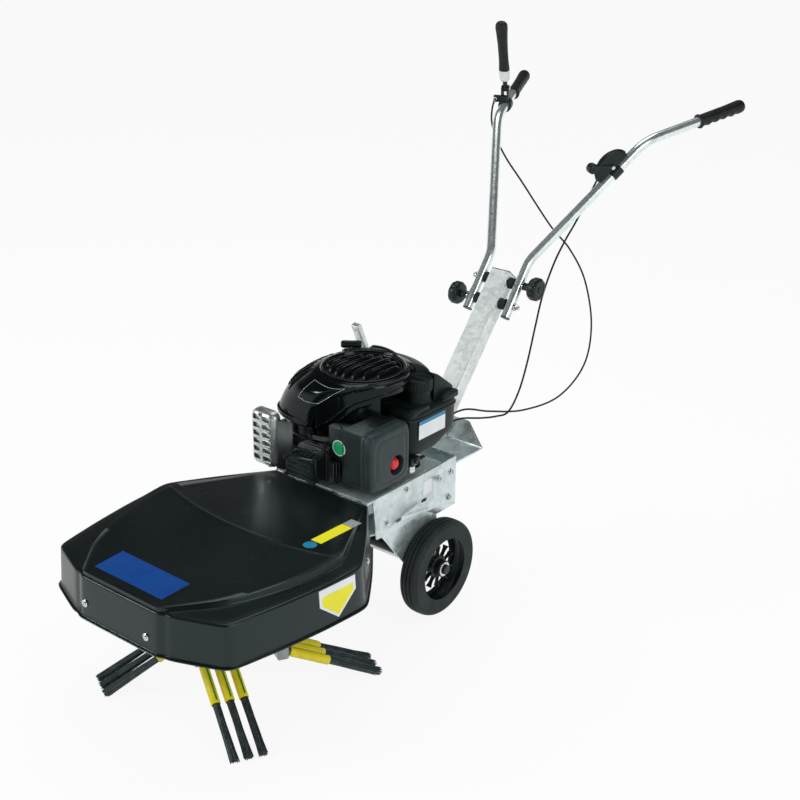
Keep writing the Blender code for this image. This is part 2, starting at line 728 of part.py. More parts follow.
def pulley_profile(radius, bore, height):
    """V groove. The belt rides on its flanks and clears its floor."""
    floor = radius - BELT_T - FLOOR_GAP
    half = height / 2
    lips = BELT_W / 2 + 0.001
    return [(bore, -half), (radius, -half), (radius, -lips), (floor, -BELT_W / 2 + 0.001),
            (floor, BELT_W / 2 - 0.001), (radius, lips), (radius, half), (bore, half)]


def build_pulleys():
    place("brush_pulley", turned_mesh("brush_pulley", pulley_profile(
        BRUSH_PULLEY_R, SPINDLE_R + GAP, PULLEY_H), 26, (0, SPINDLE_Y, BELT_Z)), STEEL, (0, SPINDLE_Y, 0))
    half = PULLEY_H / 2
    lips = BELT_W / 2 + 0.001
    floor = DRIVE_R - BELT_T - FLOOR_GAP
    shaft_top = PLATE_TOP + 0.004 - BELT_Z
    place("drive_pulley", turned_mesh("drive_pulley", [
        (0, -half), (DRIVE_R, -half), (DRIVE_R, -lips), (floor, -BELT_W / 2 + 0.001),
        (floor, BELT_W / 2 - 0.001), (DRIVE_R, lips), (DRIVE_R, half), (0.020, half),
        (0.020, half + 0.012), (CRANK_R, half + 0.012), (CRANK_R, shaft_top), (0, shaft_top)],
        20, (0, CRANK_Y, BELT_Z)), STEEL, (0, CRANK_Y, 0))


def belt_loop(inner_drive, inner_brush, steps=12):
    """Closed line round both pulleys, tangent to each, in X and Y."""
    span = CRANK_Y - SPINDLE_Y
    lean = math.asin((inner_brush - inner_drive) / span)
    points = []
    for i in range(steps + 1):
        angle = lean + (math.pi - 2 * lean) * i / steps
        points.append((inner_drive * math.cos(angle), CRANK_Y + inner_drive * math.sin(angle)))
    for i in range(steps + 1):
        angle = math.pi - lean + (math.pi + 2 * lean) * i / steps
        points.append((inner_brush * math.cos(angle), SPINDLE_Y + inner_brush * math.sin(angle)))
    return points


def build_belt():
    bm = bmesh.new()
    rings = []
    for offset, level in ((-BELT_T, -BELT_W / 2 + 0.0025), (-BELT_T, BELT_W / 2 - 0.0025),
                          (0.0, BELT_W / 2 - 0.0005), (0.0, -BELT_W / 2 + 0.0005)):
        loop = belt_loop(DRIVE_R + offset, BRUSH_PULLEY_R + offset)
        rings.append([bm.verts.new((x, y, BELT_Z + level)) for x, y in loop])
    count = len(rings[0])
    for k in range(4):
        low = rings[k]
        high = rings[(k + 1) % 4]
        for i in range(count):
            j = (i + 1) % count
            bm.faces.new((low[i], low[j], high[j], high[i]))
    place("drive_belt", mesh_from(bm, "drive_belt"), RUBBER)


def idler_centre():
    """Middle of the idler pulley at rest, a little clear of the belt's slack side."""
    span = CRANK_Y - SPINDLE_Y
    lean = math.asin((BRUSH_PULLEY_R - DRIVE_R) / span)
    along = Vector((-math.sin(lean), -math.cos(lean)))
    across = Vector((-math.cos(lean), math.sin(lean)))
    start = Vector((0, CRANK_Y)) + across * DRIVE_R
    return start + along * 0.150 + across * (IDLER_R + IDLER_CLEAR)


def build_idler():
    middle = idler_centre()
    pivot = Vector(IDLER_PIVOT)
    arm_z = BELT_Z - PULLEY_H / 2 - 0.006
    reach = (middle - pivot).length
    aim = math.atan2(middle.y - pivot.y, middle.x - pivot.x)
    outline = []
    for i in range(7):
        angle = math.pi / 2 + math.pi * i / 6
        outline.append((0.012 * math.cos(angle), 0.012 * math.sin(angle)))
    for i in range(7):
        angle = -math.pi / 2 + math.pi * i / 6
        outline.append((reach + 0.010 * math.cos(angle), 0.010 * math.sin(angle)))
    arm_mesh = prism_mesh("idler_arm", outline, "z", arm_z, arm_z + 0.004)
    arm_mesh.transform(Matrix.Translation((pivot.x, pivot.y, 0)) @ Matrix.Rotation(aim, 4, "Z"))
    arm = place("idler_arm", arm_mesh, ZINC, (pivot.x, pivot.y, 0))
    stub = turned_mesh("idler_stub", [(0, arm_z + 0.002), (0.006, arm_z + 0.002), (0.006, BELT_Z + 0.012),
                                      (0, BELT_Z + 0.012)], 16, (middle.x, middle.y, 0))
    cut(arm, place("idler_stub", stub, None, cutter=True), "UNION")
    pin = turned_mesh("idler_pin", [(0, ARM_Z + ARM_T + GAP), (0.008, ARM_Z + ARM_T + GAP),
                                    (0.008, arm_z + 0.010), (0, arm_z + 0.010)], 16, (pivot.x, pivot.y, 0))
    cut(arm, place("idler_pin", pin, None, cutter=True), "UNION")
    place("idler_pulley", turned_mesh("idler_pulley", [
        (0.006 + RUN_GAP, -0.008), (IDLER_R, -0.008), (IDLER_R, 0.008), (0.006 + RUN_GAP, 0.008)],
        24, (middle.x, middle.y, BELT_Z)), STEEL, (middle.x, middle.y, 0))


# Engine

def rounded_ring(cx, cy, rx, ry, power, z, count=36):
    """Superellipse ring."""
    points = []
    for i in range(count):
        angle = 2 * math.pi * i / count
        c = math.cos(angle)
        s = math.sin(angle)
        x = cx + rx * math.copysign(abs(c) ** (2 / power), c)
        y = cy + ry * math.copysign(abs(s) ** (2 / power), s)
        points.append((x, y, z))
    return points


def loft_mesh(name, rings, cap_low=True, cap_high=True):
    bm = bmesh.new()
    verts = [[bm.verts.new(p) for p in ring] for ring in rings]
    count = len(verts[0])
    for low, high in zip(verts, verts[1:]):
        for i in range(count):
            j = (i + 1) % count
            bm.faces.new((low[i], low[j], high[j], high[i]))
    if cap_low:
        bm.faces.new(verts[0])
    if cap_high:
        bm.faces.new(verts[-1])
    return mesh_from(bm, name)


def build_engine_block():
    """Crankcase on the plate, the finned cylinder towards the brush, the blower's base plate on top."""
    foot = PLATE_TOP + GAP
    deck = SHROUD_BASE - 0.012
    bore = CRANK_R + 0.002
    block = place("engine_block", turned_mesh("engine_block", [
        (0, foot + 0.010), (bore, foot + 0.010), (bore, foot), (CASE_R + 0.012, foot),
        (CASE_R + 0.012, foot + 0.008), (CASE_R, foot + 0.010), (CASE_R, deck + 0.004), (0, deck + 0.004)],
        28, (0, CRANK_Y, 0)), STEEL)
    rings = []
    barrel_low = PLATE_TOP + 0.0105
    barrel_high = SHROUD_BASE - 0.0235
    middle_z = (barrel_low + barrel_high) / 2
    barrel_half = (barrel_high - barrel_low) / 2
    y = -0.236
    axis_x = HEAD_X
    for fin in range(6):
        for half_x, half_z, depth in ((0.056, barrel_half, 0.003), (0.040, 0.79 * barrel_half, 0.0075)):
            for level in (y, y + depth):
                left = axis_x - half_x
                right = axis_x + half_x
                rings.append([(left, level, middle_z - half_z), (right, level, middle_z - half_z),
                              (right, level, middle_z + half_z), (left, level, middle_z + half_z)])
            y += depth
    rings.pop()
    rings.append([(x, CRANK_Y - 0.03, z) for x, _, z in rings[-1]])
    cut(block, place("barrel", loft_mesh("barrel", rings), None, cutter=True), "UNION")
    base = [rounded_ring(-0.060, -0.094, 0.112, 0.132, 2.8, z, 24) for z in (deck, SHROUD_BASE - GAP)]
    cut(block, place("blower_base", loft_mesh("blower_base", base), None, cutter=True), "UNION")


def build_muffler():
    """Exhaust box behind its guard, with its pipe to the cylinder head."""
    low = PLATE_TOP + 0.020
    high = SHROUD_BASE - 0.019
    box = box_mesh("muffler", (-0.190, -0.212, low), (-0.122, -0.130, high), 0.010)
    muffler = place("muffler", box, STEEL)
    port = HEAD_X - 0.056 - GAP
    pipe = turned_mesh("exhaust_pipe", [(0, -0.130), (0.010, -0.130), (0.010, port), (0, port)],
                       14, (0, -0.205, low + 0.46 * (high - low)), (1, 0, 0))
    cut(muffler, place("exhaust_pipe", pipe, None, cutter=True), "UNION")


def build_rocker_cover():
    cover = box_mesh("rocker_cover", (HEAD_X - 0.058, -0.282, 0.408), (HEAD_X + 0.048, -0.236 - GAP,
                                                                     SHROUD_BASE - 0.017),
                     0.005)
    place("rocker_cover", cover, BLACK_PLASTIC)


def tilted(ring, rise):
    """Lift a ring towards the rear, as the dome's rim leans forward."""
    return [(x, y, z + rise * (y - CRANK_Y) / DOME_R) for x, y, z in ring]


def side_outline(radius, nose_angle):
    """The shroud's boundary beside the air cleaner: a circle about the crank, open to the front and right."""
    points = []
    for step in range(13):
        angle = math.radians(nose_angle + (SIDE_END - nose_angle) * step / 12)
        points.append((radius * math.cos(angle), CRANK_Y + radius * math.sin(angle)))
    return points + [(points[-1][0], 0.25), (0.33, 0.25), (0.33, -0.4), (points[0][0], -0.4)]


def build_shroud():
    """Blower housing: a nose to the front right, a round side beside the air cleaner, hollow from below."""
    rings = [
        rounded_ring(-0.025, -0.094, 0.160, 0.144, 3.0, SHROUD_BASE, 24),
        rounded_ring(-0.025, -0.094, 0.161, 0.145, 3.0, SHROUD_BASE + 0.025, 24),
        rounded_ring(-0.024, -0.092, 0.158, 0.144, 2.8, SHROUD_BASE + 0.071, 24),
        rounded_ring(-0.012, -0.086, 0.154, 0.147, 2.4, SHROUD_BASE + 0.103, 24),
        rounded_ring(-0.002, CRANK_Y, 0.144, 0.144, 2.1, DOME_Z - 0.022, 24),
        rounded_ring(0.0, CRANK_Y, 0.131, 0.131, 2.0, DOME_Z - 0.010, 24),
        tilted(rounded_ring(0.0, CRANK_Y, 0.117, 0.117, 2.0, DOME_Z, 24), 0.5 * DOME_TILT),
        tilted(rounded_ring(0.0, CRANK_Y, DOME_R, DOME_R, 2.0, DOME_Z + 0.004, 24), DOME_TILT),
        tilted(rounded_ring(0.0, CRANK_Y, GRILLE_R, GRILLE_R, 2.0, DOME_Z - 0.005, 24), DOME_TILT),
        tilted(rounded_ring(0.0, CRANK_Y, 0.030, 0.030, 2.0, DOME_TOP, 24), DOME_TILT),
    ]
    shroud = place("blower_shroud", loft_mesh("blower_shroud", rings), BLACK_PLASTIC)
    inner = [
        rounded_ring(-0.025, -0.094, 0.155, 0.139, 3.0, SHROUD_BASE - 0.01, 20),
        rounded_ring(-0.024, -0.092, 0.152, 0.138, 2.8, SHROUD_BASE + 0.067, 20),
        rounded_ring(-0.002, CRANK_Y, 0.136, 0.136, 2.1, DOME_Z - 0.028, 20),
        tilted(rounded_ring(0.0, CRANK_Y, GRILLE_R - 0.006, GRILLE_R - 0.006, 2.0, DOME_Z - 0.010, 20), DOME_TILT),
        tilted(rounded_ring(0.0, CRANK_Y, 0.040, 0.040, 2.0, DOME_TOP - 0.006, 20), DOME_TILT),
    ]
    hollow = place("shroud_hollow", loft_mesh("shroud_hollow", inner), None, cutter=True)
    wall = 0.005
    cut(hollow, place("hollow_side", prism_mesh("hollow_side", side_outline(SIDE_R - wall, NOSE_ANGLE - 3.0), "z",
                                                SHROUD_BASE - 0.03, DOME_TOP + 0.06), None, cutter=True))
    room = box_mesh("hollow_room", (TANK_X[0] - 0.004 - wall, -0.31, SHROUD_BASE - 0.03),
                    (0.31, TANK_Y[1] + 0.11, TANK_Z[1] + 0.003 + wall))
    cut(hollow, place("hollow_room", room, None, cutter=True))
    cut(hollow, round_cutter("hollow_cap", CAP_R + 0.003 + wall, (CAP_POS[0], CAP_POS[1], TANK_Z[1] + 0.045),
                             (0, 0, 1), 0.16, 20))
    cut(shroud, hollow)
    cut(shroud, place("side_cut", prism_mesh("side_cut", side_outline(SIDE_R, NOSE_ANGLE), "z",
                                             SHROUD_BASE - 0.02, DOME_TOP + 0.05), None, cutter=True))
    room = box_mesh("side_room", (TANK_X[0] - 0.004, -0.30, SHROUD_BASE - 0.025),
                    (0.32, TANK_Y[1] + 0.1, TANK_Z[1] + 0.003))
    cut(shroud, place("side_room", room, None, cutter=True))
    cut(shroud, round_cutter("cap_room", CAP_R + 0.003, (CAP_POS[0], CAP_POS[1], TANK_Z[1] + 0.045), (0, 0, 1),
                             0.13, 20))
    slots = bmesh.new()
    for i in range(5):
        x = -0.056 + 0.028 * i
        half = math.sqrt(max((GRILLE_R - 0.008) ** 2 - x * x, 0.0))
        made = bmesh.ops.create_cube(slots, size=1.0)["verts"]
        bmesh.ops.scale(slots, vec=(0.011, 2 * half, 0.06), verts=made)
        bmesh.ops.translate(slots, vec=(x, 0, DOME_TOP - 0.004), verts=made)
    bmesh.ops.rotate(slots, cent=(0, 0, 0), matrix=Matrix.Rotation(math.radians(-38), 3, "Z"),
                     verts=slots.verts)
    bmesh.ops.translate(slots, vec=(0, CRANK_Y, 0), verts=slots.verts)
    cut(shroud, place("dome_slots", mesh_from(slots, "dome_slots"), None, cutter=True))


def build_muffler_guard():
    """Silver slotted box over the exhaust, open at the back."""
    lo = (-0.204, -0.268, 0.396)
    hi = (-0.124, -0.2405, 0.546)
    guard = place("muffler_guard", box_mesh("muffler_guard", lo, hi, 0.010), ZINC)
    hollow = box_mesh("guard_hollow", (lo[0] + 0.003, lo[1] + 0.003, lo[2] + 0.003),
                      (hi[0] - 0.003, hi[1] + 0.03, hi[2] - 0.003), 0.009)
    cut(guard, place("guard_hollow", hollow, None, cutter=True))
    slots = bmesh.new()
    for row in range(6):
        for column in range(2):
            made = bmesh.ops.create_cube(slots, size=1.0)["verts"]
            bmesh.ops.scale(slots, vec=(0.022, 0.03, 0.010), verts=made)
            middle = (lo[0] + 0.025 + 0.030 * column, lo[1], lo[2] + 0.024 + 0.020 * row)
            bmesh.ops.translate(slots, vec=middle, verts=made)
    cut(guard, place("guard_slots", mesh_from(slots, "guard_slots"), None, cutter=True))


AIR_X = (0.0575, 0.152)
AIR_WING = (0.020, SHROUD_BASE + 0.003)
AIR_Y = (-0.232, -0.088)
AIR_Z = (0.403, 0.550)
AIR_STEP = (0.118, 0.542)
BULB_Y = -0.140
BULB_Z = 0.453
BULB_R = 0.016
BULB_PRESS = 0.006
BULB_HOLE_R = 0.026


def build_air_cleaner():
    lo = (AIR_STEP[0], AIR_Y[0], AIR_Z[0])
    hi = (AIR_X[1], AIR_Y[1], AIR_Z[1])
    cover = place("air_cleaner_cover", box_mesh("air_cleaner_cover", lo, hi, 0.014), GREY_PLASTIC)
    inner = box_mesh("cleaner_body", (AIR_X[0], AIR_Y[0] + 0.008, AIR_Z[0] + 0.004),
                     (AIR_STEP[0] + 0.008, AIR_Y[1] - 0.006, AIR_STEP[1]), 0.006)
    cut(cover, place("cleaner_body", inner, None, cutter=True), "UNION")
    wing = place("cleaner_wing", box_mesh("cleaner_wing", (AIR_WING[0], AIR_Y[0] + 0.0085, AIR_WING[1]),
                                          (AIR_X[0] + 0.02, AIR_Y[1] - 0.03, AIR_STEP[1] - 0.001), 0.004),
                 None, cutter=True)
    cut(wing, round_cutter("wing_round", SIDE_R + 0.0015, (0, CRANK_Y, SHROUD_BASE), (0, 0, 1), 0.2, 36))
    cut(cover, wing, "UNION")
    depth = 0.022
    cut(cover, round_cutter("bulb_recess", BULB_HOLE_R, (AIR_X[1] - depth / 2 + 0.01, BULB_Y, BULB_Z),
                            (1, 0, 0), depth + 0.02, 24))
    cut(cover, round_cutter("bulb_guide", BULB_R - 0.003, (AIR_X[1] - depth - 0.008, BULB_Y, BULB_Z),
                            (1, 0, 0), 0.02, 16))
    floor = AIR_X[1] - depth
    guide = BULB_R - 0.003 - RUN_GAP
    place("primer_bulb", turned_mesh("primer_bulb", [
        (0, -0.006), (guide, -0.006), (guide, BULB_PRESS + RUN_GAP), (BULB_R, BULB_PRESS + 0.001),
        (BULB_R, BULB_PRESS + 0.0065), (BULB_R * 0.85, BULB_PRESS + 0.0115), (BULB_R * 0.5, BULB_PRESS + 0.014),
        (0, BULB_PRESS + 0.015)], 14,
        (floor, BULB_Y, BULB_Z), (1, 0, 0)), RED, (floor, BULB_Y, BULB_Z))


TANK_X = (0.0575, 0.152)
TANK_Y = (-0.084, 0.102)
TANK_Z = (0.445, 0.556)
CAP_POS = (0.100, 0.001)


def build_tank():
    lo_z = TANK_Z[0]
    hi_z = TANK_Z[1]
    middle = ((TANK_X[0] + TANK_X[1]) / 2, (TANK_Y[0] + TANK_Y[1]) / 2)
    half = ((TANK_X[1] - TANK_X[0]) / 2, (TANK_Y[1] - TANK_Y[0]) / 2)
    rings = []
    for z, shrink, rear_lift in ((lo_z, 0.012, 0.035), (lo_z + 0.010, 0.004, 0.030),
                                 (hi_z - 0.020, 0.002, 0.0), (hi_z - 0.018, 0.0, 0.0),
                                 (hi_z - 0.008, 0.0, 0.0), (hi_z, 0.008, 0.0)):
        ring = []
        for x, y, level in rounded_ring(middle[0], middle[1], half[0] - shrink, half[1] - shrink, 5.0, z, 24):
            share = min(max((y - middle[1]) / half[1], 0.0), 1.0)
            ring.append((x, y, level + rear_lift * share))
        rings.append(ring)
    tank = place("fuel_tank", loft_mesh("fuel_tank", rings), GREY_PLASTIC)
    neck_r = CAP_R - 0.003
    base = hi_z + 0.030
    neck = turned_mesh("tank_neck", [(0, hi_z - 0.01), (neck_r, hi_z - 0.01), (neck_r, base), (0, base)],
                       22, (CAP_POS[0], CAP_POS[1], 0))
    cut(tank, place("tank_neck", neck, None, cutter=True), "UNION")
    hump = [(0.040, hi_z - 0.01), (0.094, hi_z - 0.01), (0.094, hi_z + 0.016), (0.056, hi_z + 0.042),
            (0.040, hi_z + 0.042)]
    cut(tank, place("tank_hump", prism_mesh("tank_hump", hump, "x", 0.078, 0.140), None, cutter=True), "UNION")
    base += GAP
    place("fuel_cap", turned_mesh("fuel_cap", [
        (0, base), (CAP_R - 0.002, base), (CAP_R, base + 0.003), (CAP_R, base + 0.026),
        (CAP_R - 0.004, base + 0.030), (0, base + 0.031)], 22, (CAP_POS[0], CAP_POS[1], 0)),
        BLACK_PLASTIC, (CAP_POS[0], CAP_POS[1], base))


STARTER = (-0.108, -0.001, DOME_Z + 0.001)
STARTER_PULL = (-0.45, 0.54, 0.71)


def build_starter_grip():
    """T shaped pull handle at the shroud's rope outlet."""
    grip = place("starter_grip", turned_mesh("starter_grip", [
        (0, -0.026), (0.007, -0.026), (0.009, -0.019), (0.008, 0.0), (0.009, 0.019), (0.007, 0.026),
        (0, 0.026)], 14, STARTER, (0.766, 0.643, 0.0)), BLACK_PLASTIC, STARTER)
    stem = turned_mesh("starter_stem", [(0, 0), (0.005, 0), (0.005, 0.006), (0, 0.006)], 12, STARTER,
                       (0.30, -0.36, -0.88))
    cut(grip, place("starter_stem", stem, None, cutter=True), "UNION")


# Column, clamp and handle

TILT = math.radians(COLUMN_TILT)
COLUMN_UP = Vector((0, math.sin(TILT), math.cos(TILT)))


def on_column(distance, x=0.0):
    """Point on the column's middle line, measured down from its top."""
    top = Vector((x, COLUMN_TOP[0], COLUMN_TOP[1]))
    return top - COLUMN_UP * distance


def build_column():
    foot_z = TRAY_Z + SHEET + GAP
    length = (COLUMN_TOP[1] - foot_z) / math.cos(TILT) + 0.03
    half_w = COLUMN_W / 2
    half_d = COLUMN_D / 2
    turn = Matrix.Rotation(-TILT, 4, "X")
    top = Vector((0, COLUMN_TOP[0], COLUMN_TOP[1]))
    body = box_mesh("column", (-half_w, -half_d, -length), (half_w, half_d, 0), 0.003)
    body.transform(Matrix.Translation(top) @ turn)
    column = place("column", body, ZINC)
    wall = COLUMN_WALL
    bore = box_mesh("column_bore", (-half_w + wall, -half_d + wall, -length - 0.02),
                    (half_w - wall, half_d - wall, -0.004))
    bore.transform(Matrix.Translation(top) @ turn)
    cut(column, place("column_bore", bore, None, cutter=True))
    floor = box_mesh("column_floor", (-0.1, -0.1, foot_z - 0.2), (0.1, 0.5, foot_z))
    cut(column, place("column_floor", floor, None, cutter=True))
    lower = on_column(LOWER_BOLT)
    cut(column, round_cutter("lower_bolt_hole", BOLT_R + RUN_GAP, lower, (1, 0, 0), 0.2, 16))
    swing = HANDLE_SWING + 0.8
    radius = LOWER_BOLT - UPPER_BOLT
    room = BOLT_R + RUN_GAP
    points = []
    for side in (1, -1):
        for step in range(-3, 4):
            angle = TILT + math.radians(side * swing * step / 3)
            reach = radius + side * room
            points.append((lower.y + reach * math.sin(angle), lower.z + reach * math.cos(angle)))
        end = TILT + math.radians(side * swing)
        middle = (lower.y + radius * math.sin(end), lower.z + radius * math.cos(end))
        for step in range(1, 6):
            turn = end + math.pi * step / 6
            points.append((middle[0] + side * room * math.sin(turn), middle[1] + side * room * math.cos(turn)))
    cut(column, place("bolt_slot", prism_mesh("bolt_slot", points, "x", -0.1, 0.1), None, cutter=True))


def build_clamp():
    inner = COLUMN_W / 2 + GAP
    outer = TUBE_X - TUBE_R - GAP
    for label, distance in (("upper", UPPER_BOLT), ("lower", LOWER_BOLT)):
        for side_name, sign in (("left", 1), ("right", -1)):
            centre = on_column(distance)
            low = sign * inner
            profile = [(BOLT_R + RUN_GAP, 0), (BUFFER_R, 0), (BUFFER_R, outer - inner),
                       (BOLT_R + RUN_GAP, outer - inner)]
            place("buffer_%s_%s" % (label, side_name), turned_mesh(
                "buffer_%s_%s" % (label, side_name), profile, 14, (low, centre.y, centre.z), (sign, 0, 0)),
                RUBBER)
    for label, distance, sign in (("upper", UPPER_BOLT, 1), ("lower", LOWER_BOLT, -1)):
        centre = on_column(distance)
        face = KNOB_X - KNOB_W / 2
        collar = TUBE_X + TUBE_R + 0.002
        bolt_end = -(TUBE_X + TUBE_R + 0.010)
        knob = [(0, bolt_end - 0.004), (0.0065, bolt_end - 0.004), (0.0065, bolt_end + 0.004),
                (BOLT_R, bolt_end + 0.004), (BOLT_R, collar), (0.010, collar), (0.010, face),
                (KNOB_R - 0.004, face + 0.002), (KNOB_R, face + 0.007), (KNOB_R, face + KNOB_W - 0.006),
                (KNOB_R - 0.005, face + KNOB_W), (0, face + KNOB_W + 0.002)]
        place("clamp_knob_" + label, turned_mesh("clamp_knob_" + label, knob, 18,
                                                  (0, centre.y, centre.z), (sign, 0, 0)),
              BLACK_PLASTIC, centre)


def handle_corners(sign):
    foot = on_column(TUBE_FOOT, sign * TUBE_X)
    return [foot] + [(sign * x, y, z) for x, y, z in (BEND_1, BEND_2, TUBE_END)]


def grip_mesh(name, end, direction, side, other):
    """Moulded grip: flange, shallow waist, swelling to a round end, with finger notches below."""
    stations = [(0.0, 0.0185), (0.004, 0.0185), (0.006, 0.0160), (0.028, 0.0158), (0.041, 0.0158),
                (0.054, 0.0158), (0.067, 0.0158), (0.080, 0.0160), (0.093, 0.0162), (0.128, 0.0175),
                (0.145, 0.0158), (0.1495, 0.0100)]
    bm = bmesh.new()
    sides = 14
    rings = []
    for along, radius in stations:
        ring = []
        for i in range(sides):
            angle = 2 * math.pi * i / sides
            below = max(-math.sin(angle), 0.0)
            wave = 0.0016 * math.cos(2 * math.pi * (along - 0.028) / 0.026)
            bulge = wave * below if 0.012 < along < 0.13 else 0.0
            reach = radius + bulge
            ring.append(bm.verts.new(end + direction * along + side * reach * math.cos(angle)
                                     + other * reach * math.sin(angle)))
        rings.append(ring)
    bore_r = (TUBE_R + GAP) / math.cos(math.pi / sides)
    bore_depth = GRIP_LEN - 0.012
    bore_rings = []
    for along in (0.0, bore_depth):
        bore_rings.append([bm.verts.new(end + direction * along
                                        + side * bore_r * math.cos(2 * math.pi * i / sides)
                                        + other * bore_r * math.sin(2 * math.pi * i / sides))
                           for i in range(sides)])
    for low, high in zip(rings, rings[1:]):
        for i in range(sides):
            j = (i + 1) % sides
            bm.faces.new((low[i], low[j], high[j], high[i]))
    for low, high in ((rings[0], bore_rings[0]), (bore_rings[0], bore_rings[1])):
        for i in range(sides):
            j = (i + 1) % sides
            bm.faces.new((low[i], low[j], high[j], high[i]))
    bm.faces.new(rings[-1])
    bm.faces.new(bore_rings[1])
    return mesh_from(bm, name)


def build_handle():
    for side_name, sign in (("left", 1), ("right", -1)):
        path = rounded_path(handle_corners(sign), (BEND_R_1, BEND_R_2), 5)
        tube = place("handle_tube_" + side_name, tube_mesh("handle_tube_" + side_name, path, TUBE_R,
                                                            TUBE_R - TUBE_WALL, 12), ZINC)
        for label, distance in (("upper", UPPER_BOLT), ("lower", LOWER_BOLT)):
            spot = on_column(distance, sign * TUBE_X)
            cut(tube, round_cutter("tube_hole_%s_%s" % (label, side_name), BOLT_R + RUN_GAP, spot,
                                   (1, 0, 0), 0.05, 8))
        corners = handle_corners(sign)
        last = Vector(corners[-1])
        direction = (last - Vector(corners[-2])).normalized()
        start = last - direction * (GRIP_LEN - 0.016)
        side = direction.cross(Vector((0, 0, 1))).normalized()
        other = side.cross(direction)
        place("grip_" + side_name, grip_mesh("grip_" + side_name, start, direction, side, other), RUBBER)


def handle_spot(sign, back):
    """Point, direction and upward normal on the straight before the grip, back from the tube's end."""
    corners = handle_corners(sign)
    last = Vector(corners[-1])
    direction = (last - Vector(corners[-2])).normalized()
    side = direction.cross(Vector((0, 0, 1))).normalized()
    return last - direction * back, direction, side, side.cross(direction)


LEVER_BACK = 0.216
LEVER_RISE = 0.048
LEVER_LEN = 0.205
LEVER_OPEN = 102.0


def build_clutch_lever():
    """Collar round the right tube with two ears, and the long lever on the pin between them."""
    spot, direction, side, up = handle_spot(-1, LEVER_BACK)
    frame = Matrix((( *side, 0), (*direction, 0), (*up, 0), (0, 0, 0, 1))).transposed()
    frame.translation = spot
    collar = turned_mesh("lever_perch", [
        (TUBE_R + GAP, -0.014), (0.0175, -0.014), (0.0185, -0.010), (0.0185, 0.010), (0.0175, 0.014),
        (TUBE_R + GAP, 0.014)], 18, (0, 0, 0), (0, 1, 0))
    collar.transform(frame)
    perch = place("lever_perch", collar, WHITE)
    for sign in (1, -1):
        ear = box_mesh("ear_%d" % (sign + 2), (0.0065 if sign > 0 else -0.0105, -0.012, 0.010),
                       (0.0105 if sign > 0 else -0.0065, 0.012, LEVER_RISE + 0.008), 0.001)
        ear.transform(frame)
        cut(perch, place("ear_%d" % (sign + 2), ear, None, cutter=True), "UNION")
    pin = turned_mesh("lever_pin", [(0, -0.009), (0.003, -0.009), (0.003, 0.009), (0, 0.009)], 12,
                      (0, 0, LEVER_RISE), (1, 0, 0))
    pin.transform(frame)
    cut(perch, place("lever_pin", pin, None, cutter=True), "UNION")
    stop = box_mesh("cable_stop", (-0.030, -0.020, 0.0132), (0.0085, -0.011, 0.032), 0.001)
    stop.transform(frame)
    cut(perch, place("cable_stop", stop, None, cutter=True), "UNION")
    stations = [(0.0, 0.0055, 0.0070), (0.014, 0.0055, 0.0085), (0.036, 0.0110, 0.0085), (0.058, 0.0125, 0.0095),
                (0.060, 0.0145, 0.0115), (0.090, 0.0132, 0.0105), (0.140, 0.0138, 0.0110),
                (0.186, 0.0165, 0.0130), (0.199, 0.0145, 0.0110), (LEVER_LEN, 0.0070, 0.0055)]
    rings = []
    for along, half_x, half_z in stations:
        rings.append([(x, along, z) for x, z, _ in rounded_ring(0, 0, half_x, half_z, 2.4, 0.0, 12)])
    bar = loft_mesh("clutch_lever", rings)
    swing = Matrix.Rotation(math.radians(LEVER_OPEN), 4, "X")
    pose = frame @ Matrix.Translation((0, 0, LEVER_RISE)) @ swing
    bar.transform(pose)
    pivot = frame @ Vector((0, 0, LEVER_RISE))
    lever = place("clutch_lever", bar, BLACK_PLASTIC, pivot)
    boss = turned_mesh("lever_boss", [(0, -0.0055), (0.0095, -0.0055), (0.0095, 0.0055), (0, 0.0055)], 16,
                       (0, 0, LEVER_RISE), (1, 0, 0))
    boss.transform(frame)
    cut(lever, place("lever_boss", boss, None, cutter=True), "UNION")
    bore_r = 0.003 + RUN_GAP
    bore = turned_mesh("lever_bore", [(0, -0.02), (bore_r, -0.02), (bore_r, 0.02), (0, 0.02)],
                       14, (0, 0, LEVER_RISE), (1, 0, 0))
    bore.transform(frame)
    cut(lever, place("lever_bore", bore, None, cutter=True))


THROTTLE_SHARE = 0.75
THROTTLE_R = 0.0495
THROTTLE_H = 0.042
THROTTLE_HALF = 0.009
THROTTLE_OPEN = 45.0


def throttle_frame():
    """Frame on the left tube's long straight: Y along the tube, Z out to the machine's middle and front."""
    a = Vector((BEND_1[0], BEND_1[1], BEND_1[2]))
    b = Vector((BEND_2[0], BEND_2[1], BEND_2[2]))
    spot = a.lerp(b, THROTTLE_SHARE)
    along = (b - a).normalized()
    out = Vector((-0.45, -0.75, 0.55))
    out = (out - along * out.dot(along)).normalized()
    side = along.cross(out)
    frame = Matrix(((*side, 0), (*along, 0), (*out, 0), (0, 0, 0, 1))).transposed()
    frame.translation = spot
    return frame


